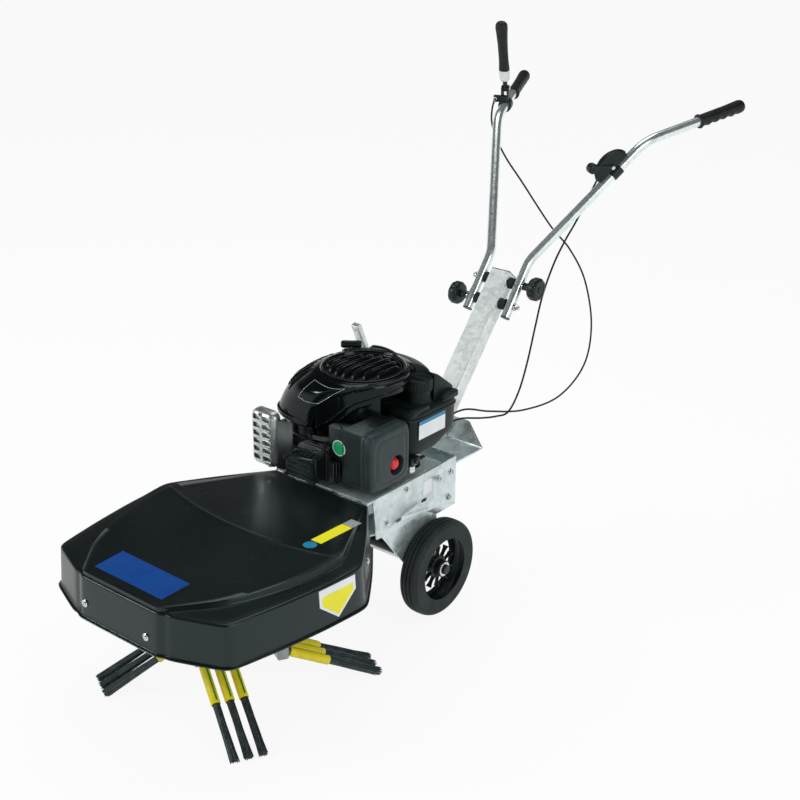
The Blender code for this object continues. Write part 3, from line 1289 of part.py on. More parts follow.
def build_throttle():
    """Half-disc housing clamped to the tube, with a lever and knob on its middle pin."""
    frame = throttle_frame()
    base = TUBE_R + GAP
    outline = [(-THROTTLE_R, base)]
    for i in range(13):
        angle = math.pi - math.pi * i / 12
        outline.append((THROTTLE_R * math.cos(angle), base + 0.004 + (THROTTLE_H - 0.004) * math.sin(angle)))
    outline.append((THROTTLE_R, base))
    body = prism_mesh("throttle_housing", outline, "x", -THROTTLE_HALF, THROTTLE_HALF)
    body.transform(frame)
    housing = place("throttle_housing", body, BLACK_PLASTIC)
    pin_z = base + 0.008
    pin_end = THROTTLE_HALF + 0.006
    pin = turned_mesh("throttle_pin", [(0, 0.0), (0.003, 0.0), (0.003, pin_end), (0, pin_end)], 12,
                      (0, 0, pin_z), (1, 0, 0))
    pin.transform(frame)
    cut(housing, place("throttle_pin", pin, None, cutter=True), "UNION")
    pose = frame @ Matrix.Translation((0, 0, pin_z)) @ Matrix.Rotation(math.radians(THROTTLE_OPEN), 4, "X")
    near = THROTTLE_HALF + RUN_GAP
    arm = box_mesh("throttle_lever", (near, -0.007, -0.007), (near + 0.004, 0.007, 0.050), 0.001)
    arm.transform(pose)
    lever = place("throttle_lever", arm, BLACK_PLASTIC, frame @ Vector((0, 0, pin_z)))
    knob = turned_mesh("throttle_knob", [(0, -0.012), (0.011, -0.012), (0.0135, -0.007), (0.0135, 0.008),
                                         (0.010, 0.012), (0, 0.013)], 16, (near - 0.002, 0, 0.056), (1, 0, 0))
    knob.transform(pose)
    cut(lever, place("throttle_knob", knob, None, cutter=True), "UNION")
    bore_r = 0.003 + RUN_GAP
    bore = turned_mesh("throttle_bore", [(0, -0.05), (bore_r, -0.05), (bore_r, 0.05), (0, 0.05)],
                       14, (0, 0, 0), (1, 0, 0))
    bore.transform(pose)
    cut(lever, place("throttle_bore", bore, None, cutter=True))


# Control cables, in machine coordinates

CABLE_R = 0.0025
CLUTCH_CABLE = [
    (-0.2757, 0.8029, 1.1028), (-0.2735, 0.7945, 1.0980), (-0.2720, 0.7850, 1.0800), (-0.2680, 0.7800, 1.0450),
    (-0.2500, 0.7790, 1.0030), (-0.2150, 0.7830, 0.9500), (-0.170, 0.797, 0.890), (-0.090, 0.829, 0.774),
    (-0.040, 0.862, 0.705), (0.000, 0.888, 0.615), (0.028, 0.893, 0.488), (0.045, 0.839, 0.385),
    (0.055, 0.699, 0.335), (0.058, 0.520, 0.352), (0.058, 0.360, 0.400), (0.056, 0.250, 0.440),
    (0.052, 0.160, 0.440), (0.050, 0.122, 0.430),
]
THROTTLE_CABLE = [
    (0.1611, 0.6718, 0.9970), (0.1542, 0.6685, 0.9823), (0.1450, 0.6614, 0.9578), (0.1347, 0.6490, 0.9200),
    (0.122, 0.620, 0.865), (0.112, 0.590, 0.820), (0.106, 0.552, 0.765), (0.108, 0.505, 0.693),
    (0.108, 0.478, 0.614), (0.100, 0.462, 0.519), (0.092, 0.441, 0.441), (0.086, 0.405, 0.392),
    (0.080, 0.360, 0.392), (0.074, 0.300, 0.405), (0.068, 0.220, 0.428), (0.064, 0.160, 0.430),
    (0.062, 0.122, 0.424),
]


def build_cables():
    cable("clutch_cable", CLUTCH_CABLE, CABLE_R)
    cable("throttle_cable", THROTTLE_CABLE, CABLE_R)


build_hood()
build_engine_plate()
build_rear_plate()
build_axle_bracket()
build_axle()
build_wheel("left", 1)
build_wheel("right", -1)
build_tufts()
build_brush_disc()
build_bearing_housing()
build_brush_arm()
build_pulleys()
build_belt()
build_idler()
build_engine_block()
build_muffler()
build_rocker_cover()
build_shroud()
build_muffler_guard()
build_air_cleaner()
build_tank()
build_starter_grip()
build_column()
build_clamp()
build_handle()
build_clutch_lever()
build_throttle()
build_cables()
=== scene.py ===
"""Weed brush machine: the visible model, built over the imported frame.

Lengths are metres. Points are written in machine coordinates, with Y measured from
just in front of the wheel axle, and every mesh moves by SHIFT_Y into the row frame.
"""
import bpy
import bmesh
import random
from math import asin, atan2, copysign, cos, exp, pi, radians, sin, sqrt, tan
from mathutils import Matrix, Vector


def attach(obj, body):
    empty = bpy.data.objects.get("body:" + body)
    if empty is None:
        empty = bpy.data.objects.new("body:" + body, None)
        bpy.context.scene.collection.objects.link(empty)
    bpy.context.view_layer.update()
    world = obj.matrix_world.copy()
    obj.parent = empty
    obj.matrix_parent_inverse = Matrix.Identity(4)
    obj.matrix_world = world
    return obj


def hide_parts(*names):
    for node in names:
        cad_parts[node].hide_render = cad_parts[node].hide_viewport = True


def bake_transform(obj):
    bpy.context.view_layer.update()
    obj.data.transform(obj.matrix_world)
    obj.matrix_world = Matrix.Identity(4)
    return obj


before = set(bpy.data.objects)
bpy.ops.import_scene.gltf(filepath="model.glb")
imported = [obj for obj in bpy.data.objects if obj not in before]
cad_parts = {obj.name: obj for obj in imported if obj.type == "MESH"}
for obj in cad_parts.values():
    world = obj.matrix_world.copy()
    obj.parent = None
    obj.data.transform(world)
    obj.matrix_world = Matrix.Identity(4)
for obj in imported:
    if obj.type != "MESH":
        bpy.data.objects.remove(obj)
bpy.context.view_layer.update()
SHIFT_Y = -0.0905
SIDES = (("left", 1), ("right", -1))
CRANK_Y = -0.082
BELT_Z = 0.322
AXLE_Y = 0.01
AXLE_Z = 0.125


# Camera, floor and light

IMAGE_PX = 800.0
SENSOR_MM = 36.0
FLOOR_REACH = 14.0


def in_scene(name, data):
    """Wrap data in an object of its own and put it in the scene."""
    obj = bpy.data.objects.new(name, data)
    bpy.context.scene.collection.objects.link(obj)
    return obj


def make_camera():
    """The photograph's camera, fitted to points of the machine."""
    azimuth = radians(40.034)
    elevation = radians(24.232)
    roll = radians(0.249)
    back = Vector((sin(azimuth) * cos(elevation), -cos(azimuth) * cos(elevation), sin(elevation)))
    right = Vector((cos(azimuth), sin(azimuth), 0.0))
    up = back.cross(right)
    across = right * cos(roll) + up * sin(roll)
    above = up * cos(roll) - right * sin(roll)
    data = bpy.data.cameras.new("photo_camera")
    data.sensor_width = SENSOR_MM
    data.lens = 1415.0 * SENSOR_MM / IMAGE_PX
    data.shift_x = 28.075 / IMAGE_PX
    data.shift_y = 36.659 / IMAGE_PX
    data.clip_start = 0.05
    data.clip_end = 60.0
    camera = in_scene("photo_camera", data)
    place = Matrix((across, above, back)).transposed().to_4x4()
    place.translation = Vector((0.0, -0.05 + SHIFT_Y, 0.45)) + back * 3.433
    camera.matrix_world = place
    bpy.context.scene.camera = camera


def area_light(name, at, to, size, power):
    data = bpy.data.lights.new(name, "AREA")
    data.shape = "RECTANGLE"
    data.size, data.size_y = size
    data.energy = power
    light = in_scene(name, data)
    light.location = at
    light.rotation_mode = "QUATERNION"
    light.rotation_quaternion = (Vector(to) - Vector(at)).to_track_quat("-Z", "Y")


def fill(tree, node, inputs):
    """Set a node's inputs. An input given as another node's output becomes a link."""
    for key, value in inputs.items():
        if isinstance(value, bpy.types.NodeSocket):
            tree.links.new(value, node.inputs[key])
        else:
            node.inputs[key].default_value = value
    return node.outputs


def shader_node(tree, kind, inputs, **settings):
    """Add a node and give back its outputs."""
    node = tree.nodes.new("ShaderNode" + kind)
    for key, value in settings.items():
        setattr(node, key, value)
    return fill(tree, node, inputs)


def maths(tree, operation, first, second):
    return shader_node(tree, "Math", {0: first, 1: second}, operation=operation)[0]


def glow(tree, kind, colour, strength):
    return shader_node(tree, kind, {"Color": (*colour, 1.0), "Strength": strength})[0]


def make_world():
    """Even room light on matt faces, a white backdrop in view and a dark ceiling in reflections."""
    world = bpy.data.worlds.new("studio")
    world.use_nodes = True
    bpy.context.scene.world = world
    tree = world.node_tree
    tree.nodes.clear()
    rays = shader_node(tree, "LightPath", {})
    room = glow(tree, "Background", (0.93, 0.97, 1.0), 0.55)
    backdrop = glow(tree, "Background", (1.0, 1.0, 1.0), 1.0)
    ceiling = glow(tree, "Background", (0.92, 0.97, 1.0), 0.03)
    place = shader_node(tree, "TexCoord", {})["Generated"]
    height = shader_node(tree, "SeparateXYZ", {0: place})["Z"]
    rise = shader_node(tree, "MapRange", {"Value": height, "From Min": 0.06, "From Max": 0.34},
                       interpolation_type="SMOOTHSTEP")["Result"]
    overhead = maths(tree, "MULTIPLY", rise, rays["Is Glossy Ray"])
    wall = shader_node(tree, "MixShader", {0: overhead, 1: backdrop, 2: ceiling})[0]
    seen = maths(tree, "MAXIMUM", rays["Is Camera Ray"], rays["Is Glossy Ray"])
    seen = maths(tree, "MAXIMUM", seen, rays["Is Transmission Ray"])
    mix = shader_node(tree, "MixShader", {0: seen, 1: room, 2: wall})[0]
    shader_node(tree, "OutputWorld", {"Surface": mix})


def make_floor():
    """A floor that glows nearly white where the camera or a mirror sees it and still takes shadows."""
    mesh = bpy.data.meshes.new("studio_floor")
    corners = [(x * FLOOR_REACH, y * FLOOR_REACH, 0) for x, y in ((-1, -1), (1, -1), (1, 1), (-1, 1))]
    mesh.from_pydata(corners, [], [(0, 1, 2, 3)])
    floor = in_scene("studio_floor", mesh)
    floor.location.z = -0.0004
    paint = bpy.data.materials.new("studio_floor")
    paint.use_nodes = True
    tree = paint.node_tree
    tree.nodes.clear()
    rays = shader_node(tree, "LightPath", {})
    matt = shader_node(tree, "BsdfDiffuse", {"Color": (0.9, 0.9, 0.9, 1.0)})[0]
    white = glow(tree, "Emission", (1.0, 1.0, 1.0), 1.0)
    seen = maths(tree, "MAXIMUM", rays["Is Camera Ray"], rays["Is Glossy Ray"])
    share = maths(tree, "MULTIPLY", seen, 0.9)
    mix = shader_node(tree, "MixShader", {0: share, 1: matt, 2: white})[0]
    shader_node(tree, "OutputMaterial", {"Surface": mix})
    mesh.materials.append(paint)


def make_studio():
    bpy.context.scene.view_settings.view_transform = "Standard"
    make_world()
    make_floor()
    area_light("key", (-2.6, -3.2, 2.6), (0.0, -0.3, 0.4), (2.0, 0.4), 66.0)
    area_light("side", (3.4, -0.6, 2.2), (0.0, 0.0, 0.5), (1.6, 1.6), 34.0)
    area_light("top", (-0.6, 0.9, 3.6), (0.0, 0.0, 0.4), (2.0, 2.0), 30.0)


# Materials

BUMP_DEPTH = 0.001


def noise_at(tree, scale, detail, source):
    inputs = {"Scale": scale, "Detail": detail, "Roughness": 0.55, "Vector": source}
    return shader_node(tree, "TexNoise", inputs)


def ramp(tree, source, low, high):
    """Stretch the values from low to high over 0 to 1."""
    return shader_node(tree, "MapRange", {"Value": source, "From Min": low, "From Max": high})["Result"]


def span(tree, source, low, high):
    """Bring values of 0 to 1 between low and high."""
    return shader_node(tree, "MapRange", {"Value": source, "To Min": low, "To Max": high})["Result"]


def blend_colour(tree, factor, first, second):
    first, second = [(*end, 1.0) if isinstance(end, tuple) else end for end in (first, second)]
    return shader_node(tree, "Mix", {0: factor, 6: first, 7: second}, data_type="RGBA")[2]


def grain_bump(tree, source, scale, detail, strength):
    height = noise_at(tree, scale, detail, source)["Fac"]
    inputs = {"Strength": strength, "Distance": BUMP_DEPTH, "Height": height}
    return shader_node(tree, "Bump", inputs)["Normal"]


def new_material(name):
    """A material with its node tree, its shader and the object's own coordinates."""
    mat = bpy.data.materials.new(name)
    mat.use_nodes = True
    tree = mat.node_tree
    return mat, tree, tree.nodes["Principled BSDF"], shader_node(tree, "TexCoord", {})["Object"]


def material(name, dark, light, rough, metal=0.0, spec=0.5, mottle=30.0, grain=900.0, bump=0.05,
             edge=0.0, edge_highlight_colour=None, stretch=(1.0, 1.0, 1.0), glint=(1.0, 1.0, 1.0)):
    """Principled material: two tones mottled by noise, varied roughness, fine grain bump, and painted
    highlights on sharp edges.
    """
    mat, tree, shader, place = new_material(name)
    source = shader_node(tree, "Mapping", {"Scale": stretch, "Vector": place})["Vector"]
    broad = noise_at(tree, mottle, 5.0, source)["Fac"]
    colour = blend_colour(tree, ramp(tree, broad, 0.35, 0.65), dark, light)
    # Painted highlight: edge lightens the sharp edges, where pointiness is high, towards the edge highlight
    # colour, in noise patches.
    if edge > 0.0:
        corner = ramp(tree, shader_node(tree, "NewGeometry", {})["Pointiness"], 0.53, 0.62)
        highlight_patches = span(tree, noise_at(tree, 160.0, 3.0, source)["Fac"], 0.0, edge * 2.0)
        colour = blend_colour(tree, maths(tree, "MULTIPLY", corner, highlight_patches), colour, edge_highlight_colour)
    smear = noise_at(tree, mottle * 0.6, 3.0, source)["Fac"]
    fill(tree, shader, {
        "Base Color": colour, "Metallic": metal, "Specular IOR Level": spec, "Specular Tint": (*glint, 1.0),
        "Roughness": span(tree, smear, rough * 0.78, rough * 1.25),
        "Normal": grain_bump(tree, source, grain, 2.0, bump)})
    return mat


def zinc_material(name, tint, rough, metal, spangle):
    """Galvanised sheet: crystal flakes of slightly different grey, with a cloudy white bloom."""
    mat, tree, shader, source = new_material(name)
    warp = noise_at(tree, 24.0, 2.0, source)["Color"]
    place = shader_node(tree, "Mix", {0: 0.03, 4: source, 5: warp}, data_type="VECTOR")[1]
    flakes = shader_node(tree, "TexVoronoi", {"Scale": spangle, "Vector": place})["Color"]
    split = shader_node(tree, "SeparateColor", {0: flakes})
    low = tuple(c * 0.72 for c in tint)
    high = tuple(min(c * 1.16, 1.0) for c in tint)
    bloom = tuple(min(c * 1.1 + 0.05, 1.0) for c in tint)
    colour = blend_colour(tree, span(tree, split[0], 0.2, 0.8), low, high)
    cloud = ramp(tree, noise_at(tree, 9.0, 6.0, source)["Fac"], 0.42, 0.78)
    fill(tree, shader, {
        "Base Color": blend_colour(tree, cloud, colour, bloom), "Metallic": metal,
        "Roughness": span(tree, split[1], rough * 0.8, rough * 1.3),
        "Normal": grain_bump(tree, source, 420.0, 3.0, 0.08)})
    return mat


make_camera()
make_studio()

COOL = (0.8, 1.0, 0.99)
# The edge and edge colour given to a material below set the painted highlights along its sharp edges.
HOOD = material("hood_plastic", (0.0036, 0.0062, 0.0066), (0.0052, 0.0082, 0.0086), 0.27, spec=0.44,
    mottle=7.0, grain=1100.0, bump=0.05, edge=1.0, edge_highlight_colour=(0.1, 0.115, 0.115), glint=COOL)
GLOSS = material("gloss_black", (0.0014, 0.0022, 0.0024), (0.0028, 0.004, 0.0042), 0.13, spec=0.24,
    mottle=14.0, grain=600.0, bump=0.02, edge=0.5, edge_highlight_colour=(0.08, 0.092, 0.092), glint=COOL)
SATIN = material("satin_black", (0.004, 0.0056, 0.006), (0.008, 0.0104, 0.011), 0.36, spec=0.34,
    mottle=30.0, grain=1300.0, bump=0.1, edge=0.25, edge_highlight_colour=(0.05, 0.058, 0.06), glint=COOL)
CASE_BLACK = material("case_plastic", (0.0065, 0.012, 0.012), (0.01, 0.0165, 0.0165), 0.3, spec=0.42,
    mottle=16.0, grain=1100.0, bump=0.05, edge=0.8, edge_highlight_colour=(0.12, 0.14, 0.14), glint=COOL)
MATT_GREY = material("matt_grey_plastic", (0.02, 0.033, 0.035), (0.028, 0.043, 0.045), 0.42, spec=0.3,
    mottle=22.0, grain=1500.0, bump=0.16, edge=0.2, edge_highlight_colour=(0.08, 0.095, 0.1))
TANK_GREY = material("tank_plastic", (0.0055, 0.0088, 0.0094), (0.0088, 0.013, 0.0136), 0.38, spec=0.2,
    mottle=18.0, grain=1500.0, bump=0.14, edge=0.5, edge_highlight_colour=(0.08, 0.095, 0.096), glint=COOL)
TYRE = material("tyre_rubber", (0.012, 0.018, 0.019), (0.022, 0.03, 0.031), 0.62, spec=0.25,
    mottle=26.0, grain=800.0, bump=0.22)
RUBBER = material("black_rubber", (0.006, 0.008, 0.009), (0.012, 0.015, 0.016), 0.58, spec=0.28,
    mottle=40.0, grain=1400.0, bump=0.2)
GRIP = material("grip_rubber", (0.006, 0.008, 0.009), (0.012, 0.014, 0.015), 0.48, spec=0.3,
    mottle=40.0, grain=1500.0, bump=0.16)
YELLOW = material("yellow_sleeve", (0.82, 0.66, 0.003), (0.93, 0.78, 0.008), 0.33, spec=0.5,
    mottle=45.0, grain=700.0, bump=0.04)
GREEN = material("green_stripe", (0.01, 0.22, 0.03), (0.02, 0.3, 0.05), 0.35, mottle=60.0, bump=0.02)
WIRE = material("brush_wire", (0.075, 0.098, 0.102), (0.12, 0.148, 0.152), 0.3, metal=0.5, mottle=60.0,
    grain=1500.0, bump=0.03)
STEEL = material("dull_steel", (0.2, 0.22, 0.23), (0.32, 0.34, 0.35), 0.38, metal=1.0, mottle=40.0,
    grain=1600.0, bump=0.08, stretch=(1.0, 1.0, 6.0))
BOLT = material("plated_bolt", (0.55, 0.58, 0.58), (0.74, 0.76, 0.75), 0.24, metal=1.0, mottle=120.0,
    grain=1800.0, bump=0.05)
PLATED = material("guard_plating", (0.46, 0.5, 0.49), (0.66, 0.7, 0.68), 0.34, metal=0.9, mottle=55.0,
    grain=1500.0, bump=0.1)
SHIELD = material("heat_shield_steel", (0.12, 0.14, 0.142), (0.2, 0.225, 0.225), 0.42, metal=0.9,
    mottle=36.0, grain=1300.0, bump=0.1, stretch=(1.0, 1.0, 0.12))
ALLOY = material("cast_alloy", (0.08, 0.09, 0.095), (0.14, 0.155, 0.16), 0.5, metal=0.9, mottle=60.0,
    grain=900.0, bump=0.3)
RED = material("primer_red", (0.72, 0.008, 0.012), (0.86, 0.02, 0.025), 0.3, mottle=80.0, grain=900.0,
    bump=0.05)
WHITE = material("white_plastic", (0.72, 0.73, 0.73), (0.82, 0.83, 0.83), 0.4, mottle=50.0,
    grain=1200.0, bump=0.06)
PALE = material("pale_label", (0.8, 0.83, 0.85), (0.86, 0.88, 0.89), 0.35, mottle=20.0, bump=0.01)
BLUE = material("blue_label", (0.003, 0.048, 0.235), (0.004, 0.06, 0.275), 0.3, spec=0.25, mottle=20.0,
    bump=0.01)
SKY = material("sky_label", (0.01, 0.22, 0.38), (0.015, 0.26, 0.44), 0.3, mottle=20.0, bump=0.01)
SUN = material("yellow_label", (0.86, 0.8, 0.01), (0.9, 0.84, 0.02), 0.32, mottle=20.0, bump=0.01)
SILVER = material("silver_label", (0.42, 0.45, 0.46), (0.52, 0.55, 0.56), 0.3, metal=0.4, mottle=20.0,
    bump=0.01)
LEAF = material("green_label", (0.01, 0.34, 0.11), (0.02, 0.42, 0.15), 0.3, mottle=20.0, bump=0.01)
AXLE = material("black_steel", (0.005, 0.006, 0.007), (0.01, 0.012, 0.013), 0.3, spec=0.35, mottle=60.0,
    grain=1500.0, bump=0.08, edge=0.3, edge_highlight_colour=(0.12, 0.12, 0.12))
ZINC = zinc_material("galvanised_sheet", (0.63, 0.715, 0.72), 0.32, 0.78, 62.0)
POST = zinc_material("galvanised_tube", (0.76, 0.81, 0.79), 0.4, 0.45, 90.0)
TUBE = zinc_material("plated_tube", (0.8, 0.87, 0.88), 0.2, 0.82, 140.0)


# Shape tools

def piece(name, mesh, mat, nodes=(), sharp=35.0, body="frame"):
    """Put a mesh, given in machine coordinates, in the scene, and let it ride on a body."""
    mesh.transform(Matrix.Translation((0.0, SHIFT_Y, 0.0)))
    mesh.name = name
    obj = in_scene(name, mesh)
    mesh.materials.clear()
    mesh.materials.append(mat)
    mesh.shade_smooth()
    mesh.set_sharp_from_angle(angle=radians(sharp))
    if body:
        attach(obj, body)
    if nodes:
        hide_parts(*nodes)
    return obj


def from_bmesh(bm):
    bmesh.ops.remove_doubles(bm, verts=bm.verts, dist=1e-6)
    bmesh.ops.recalc_face_normals(bm, faces=bm.faces)
    mesh = bpy.data.meshes.new("part")
    bm.to_mesh(mesh)
    bm.free()
    return mesh


def baked(mesh, changes):
    """Run modifiers on a mesh and keep the result. Each change is (type, {setting: value})."""
    obj = in_scene("helper", mesh)
    for kind, settings in changes:
        mod = obj.modifiers.new(kind, kind)
        for key, value in settings.items():
            setattr(mod, key, value)
    bpy.context.view_layer.update()
    graph = bpy.context.evaluated_depsgraph_get()
    made = bpy.data.meshes.new_from_object(obj.evaluated_get(graph))
    bpy.data.objects.remove(obj, do_unlink=True)
    return made


def carve(mesh, cutters, operation="DIFFERENCE"):
    """Boolean a mesh with other meshes."""
    helpers = [in_scene("cutter", cutter) for cutter in cutters]
    made = baked(mesh, [("BOOLEAN", {"operation": operation, "solver": "EXACT", "object": helper})
                        for helper in helpers])
    for helper in helpers:
        bpy.data.objects.remove(helper, do_unlink=True)
    return made


def rounded(mesh, width, segments=2, angle=30.0):
    """Bevel the sharp edges of a mesh."""
    return baked(mesh, [("BEVEL", {"width": width, "segments": segments, "limit_method": "ANGLE",
                                   "angle_limit": radians(angle), "use_clamp_overlap": True,
                                   "harden_normals": False})])


def thickened(mesh, thickness, offset):
    """Give an open sheet a thickness, inward at offset -1 and outward at 1."""
    return baked(mesh, [("SOLIDIFY", {"thickness": thickness, "offset": offset})])


def facing_up(mesh):
    """Turn an open sheet's faces so that their outer side is the upper one."""
    if sum(p.normal.z * p.area for p in mesh.polygons) < 0:
        mesh.flip_normals()
    return mesh


def joined(meshes):
    bm = bmesh.new()
    for mesh in meshes:
        bm.from_mesh(mesh)
    made = bpy.data.meshes.new("part")
    bm.to_mesh(made)
    bm.free()
    return made


def facing(centre, direction):
    """Matrix that takes the origin to a centre and the Z axis to a direction."""
    turn = Vector((0, 0, 1)).rotation_difference(Vector(direction)).to_matrix().to_4x4()
    return Matrix.Translation(Vector(centre)) @ turn


def raised(pair, axis, level):
    """A point from two numbers and its place along the third axis."""
    at = "xyz".index(axis)
    return (*pair[:at], level, *pair[at:])


def skin(bm, rings, closed=True):
    """Lay four-sided faces between neighbouring rings of vertices."""
    count = len(rings[0])
    for low, high in zip(rings, rings[1:]):
        for i in range(count if closed else count - 1):
            j = (i + 1) % count
            bm.faces.new((low[i], low[j], high[j], high[i]))


def loft(rings, capped=True):
    """Skin closed rings of points, and close both ends."""
    bm = bmesh.new()
    verts = [[bm.verts.new(p) for p in ring] for ring in rings]
    skin(bm, verts)
    if capped:
        bm.faces.new(verts[0])
        bm.faces.new(verts[-1])
    return from_bmesh(bm)


def box(lo, hi):
    bm = bmesh.new()
    bmesh.ops.create_cube(bm, size=1.0)
    bmesh.ops.scale(bm, vec=[b - a for a, b in zip(lo, hi)], verts=bm.verts)
    bmesh.ops.translate(bm, vec=[(a + b) / 2 for a, b in zip(lo, hi)], verts=bm.verts)
    return from_bmesh(bm)


def prism(outline, axis, start, end):
    """Extrude a closed outline along one axis. The outline's two numbers are the other axes in order."""
    return loft([[raised(pair, axis, level) for pair in outline] for level in (start, end)])


def turned(profile, segments=64, centre=(0, 0, 0), direction=(0, 0, 1)):
    """Revolve a profile of (radius, height) points. Points at radius 0 close on the axis."""
    bm = bmesh.new()
    turns = [2 * pi * i / segments for i in range(segments)]
    rings = []
    for radius, height in profile:
        places = turns if radius > 0 else turns[:1]
        rings.append([bm.verts.new((radius * cos(turn), radius * sin(turn), height)) for turn in places])
    pairs = list(zip(rings, rings[1:]))
    if profile[0][0] > 0 and profile[-1][0] > 0:
        pairs.append((rings[-1], rings[0]))
    for low, high in pairs:
        for i in range(segments):
            j = (i + 1) % segments
            if len(low) == 1:
                bm.faces.new((low[0], high[j], high[i]))
            elif len(high) == 1:
                bm.faces.new((low[i], low[j], high[0]))
            else:
                bm.faces.new((low[i], low[j], high[j], high[i]))
    bm.transform(facing(centre, direction))
    return from_bmesh(bm)


def mirrored(half):
    """Whole profile from one half of it, whose (radius, height) points run from the end inward."""
    return [(radius, -height) for radius, height in half] + list(reversed(half))


def plug_profile(*points):
    """Solid profile: the (radius, height) points closed on the axis at the first and the last height."""
    return [(0, points[0][1]), *points, (0, points[-1][1])]


def frames_along(points):
    """Points with a direction and two side vectors that don't twist."""
    points = [Vector(p) for p in points]
    result = []
    side = None
    for i, point in enumerate(points):
        ahead = points[min(i + 1, len(points) - 1)]
        behind = points[max(i - 1, 0)]
        direction = (ahead - behind).normalized()
        if side is None:
            side = Vector((0, 0, 1)) if abs(direction.x) > 0.9 else Vector((1, 0, 0))
        side = (side - direction * side.dot(direction)).normalized()
        result.append((point, direction, side, direction.cross(side)))
    return result


def circle(point, side, other, radius, sides):
    turns = [2 * pi * i / sides for i in range(sides)]
    return [point + side * radius * cos(turn) + other * radius * sin(turn) for turn in turns]


def rod(points, radii, sides=12, capped=True):
    """Round sweep. radii is one number or one per point."""
    frames = frames_along(points)
    if not isinstance(radii, (list, tuple)):
        radii = [radii] * len(frames)
    return loft([circle(point, side, other, radius, sides)
                 for (point, _, side, other), radius in zip(frames, radii)], capped)


def pipe_mesh(points, outer, inner, sides=32):
    """Hollow round sweep with flat rings over both ends."""
    bm = bmesh.new()
    rings = []
    for point, _, side, other in frames_along(points):
        rings.append([[bm.verts.new(p) for p in circle(point, side, other, radius, sides)]
                      for radius in (outer, inner)])
    for first, second in zip(rings, rings[1:]):
        skin(bm, [first[0], second[0]])
        skin(bm, [first[1], second[1]])
    skin(bm, rings[0])
    skin(bm, rings[-1])
    return from_bmesh(bm)


def rounded_ring(cx, cy, rx, ry, power, level, count=96, axis="z"):
    """Superellipse ring about one axis."""
    points = []
    for i in range(count):
        angle = 2 * pi * i / count
        c = cos(angle)
        s = sin(angle)
        x = cx + rx * copysign(abs(c) ** (2 / power), c)
        y = cy + ry * copysign(abs(s) ** (2 / power), s)
        points.append(raised((x, y), axis, level))
    return points


def arc_path(corners, radii, steps=12):
    """A line through corners, with an arc of its own radius at each inner corner."""
    corners = [Vector(c) for c in corners]
    path = [corners[0]]
    for before, here, after, radius in zip(corners, corners[1:], corners[2:], radii):
        to_back = (before - here).normalized()
        to_front = (after - here).normalized()
        half = to_back.angle(to_front) / 2
        trim = radius / tan(half)
        centre = here + (to_back + to_front).normalized() * radius / sin(half)
        start = here + to_back * trim
        end = here + to_front * trim
        for step in range(steps + 1):
            arm = (start - centre).lerp(end - centre, step / steps).normalized()
            path.append(centre + arm * radius)
    path.append(corners[-1])
    return path


def smooth_line(knots, count):
    """Catmull-Rom curve through knots, read at even steps."""
    knots = [Vector(p) for p in knots]
    padded = [2 * knots[0] - knots[1]] + knots + [2 * knots[-1] - knots[-2]]
    dense = []
    for a, b, c, d in zip(padded, padded[1:], padded[2:], padded[3:]):
        for step in range(24):
            t = step / 24
            dense.append(0.5 * ((2 * b) + (c - a) * t + (2 * a - 5 * b + 4 * c - d) * t * t
                                + (3 * b - a - 3 * c + d) * t * t * t))
    dense.append(knots[-1])
    lengths = [0.0]
    for p, q in zip(dense, dense[1:]):
        lengths.append(lengths[-1] + (q - p).length)
    points = []
    at = 0
    for i in range(count):
        want = lengths[-1] * i / (count - 1)
        while at < len(lengths) - 2 and lengths[at + 1] < want:
            at += 1
        share = (want - lengths[at]) / max(lengths[at + 1] - lengths[at], 1e-9)
        points.append(dense[at].lerp(dense[at + 1], min(max(share, 0.0), 1.0)))
    return points


def hex_bolt(name, at, direction, size=0.0065, height=0.005, washer=0.0095, mat=None, stud=0.0):
    """Hexagon head on a washer, standing on a surface."""
    base = 0.0016
    top = base + height
    parts = [turned(plug_profile((washer, 0), (washer, 0.0012), (washer - 0.0005, base)), 32),
             turned(plug_profile((size, base), (size, base + height * 0.8), (size * 0.86, top)), 6)]
    if stud:
        parts.append(turned(plug_profile((size * 0.48, top), (size * 0.48, top + stud - 0.001),
                                         (size * 0.36, top + stud)), 16))
    mesh = joined(parts)
    mesh.transform(facing(at, direction) @ Matrix.Rotation(0.3, 4, "Z"))
    return piece(name, mesh, mat or BOLT, sharp=25.0)


def hole(at, axis, radius, depth):
    """Cutter for a round hole through a sheet."""
    return turned(plug_profile((radius, -depth), (radius, depth)), 32, at, [axis == name for name in "xyz"])


def polar(radius, degrees, z, y=CRANK_Y):
    """A point about the crankshaft, or another upright axis that stands at y."""
    return radius * cos(radians(degrees)), y + radius * sin(radians(degrees)), z



# Hood

HOOD_FRONT = -0.858
PLATE_HALF = 0.145
PLATE_FRONT = -0.238
PLATE_REAR = 0.048
PLATE_TOP = 0.39
SIDE_BOTTOM = 0.279
SHEET = 0.004
HOOD_TOP = 0.372
HOOD_BOTTOM = 0.276
HOOD_CROWN = 0.021
HOOD_ROUND = 0.0055
HOOD_REAR_RISE = 0.013
HOOD_OUTER = [(0.0, -0.858), (0.112, -0.858), (0.122, -0.855), (0.132, -0.85), (0.15, -0.848),
    (0.242, -0.81), (0.256, -0.802), (0.264, -0.787), (0.286, -0.673), (0.301, -0.568), (0.309, -0.462),
    (0.304, -0.438), (0.232, -0.34), (0.149, -0.24)]
HOOD_PANEL = [(0.0, -0.853), (0.108, -0.853), (0.116, -0.851), (0.123, -0.844), (0.134, -0.83),
    (0.186, -0.766), (0.205, -0.735), (0.22, -0.703), (0.244, -0.628), (0.258, -0.558), (0.264, -0.483),
    (0.257, -0.448), (0.205, -0.361), (0.14, -0.24)]
HOOD_STEPS = 12
CREASE_SIDE = -0.476
CREASE_BOW = 0.046


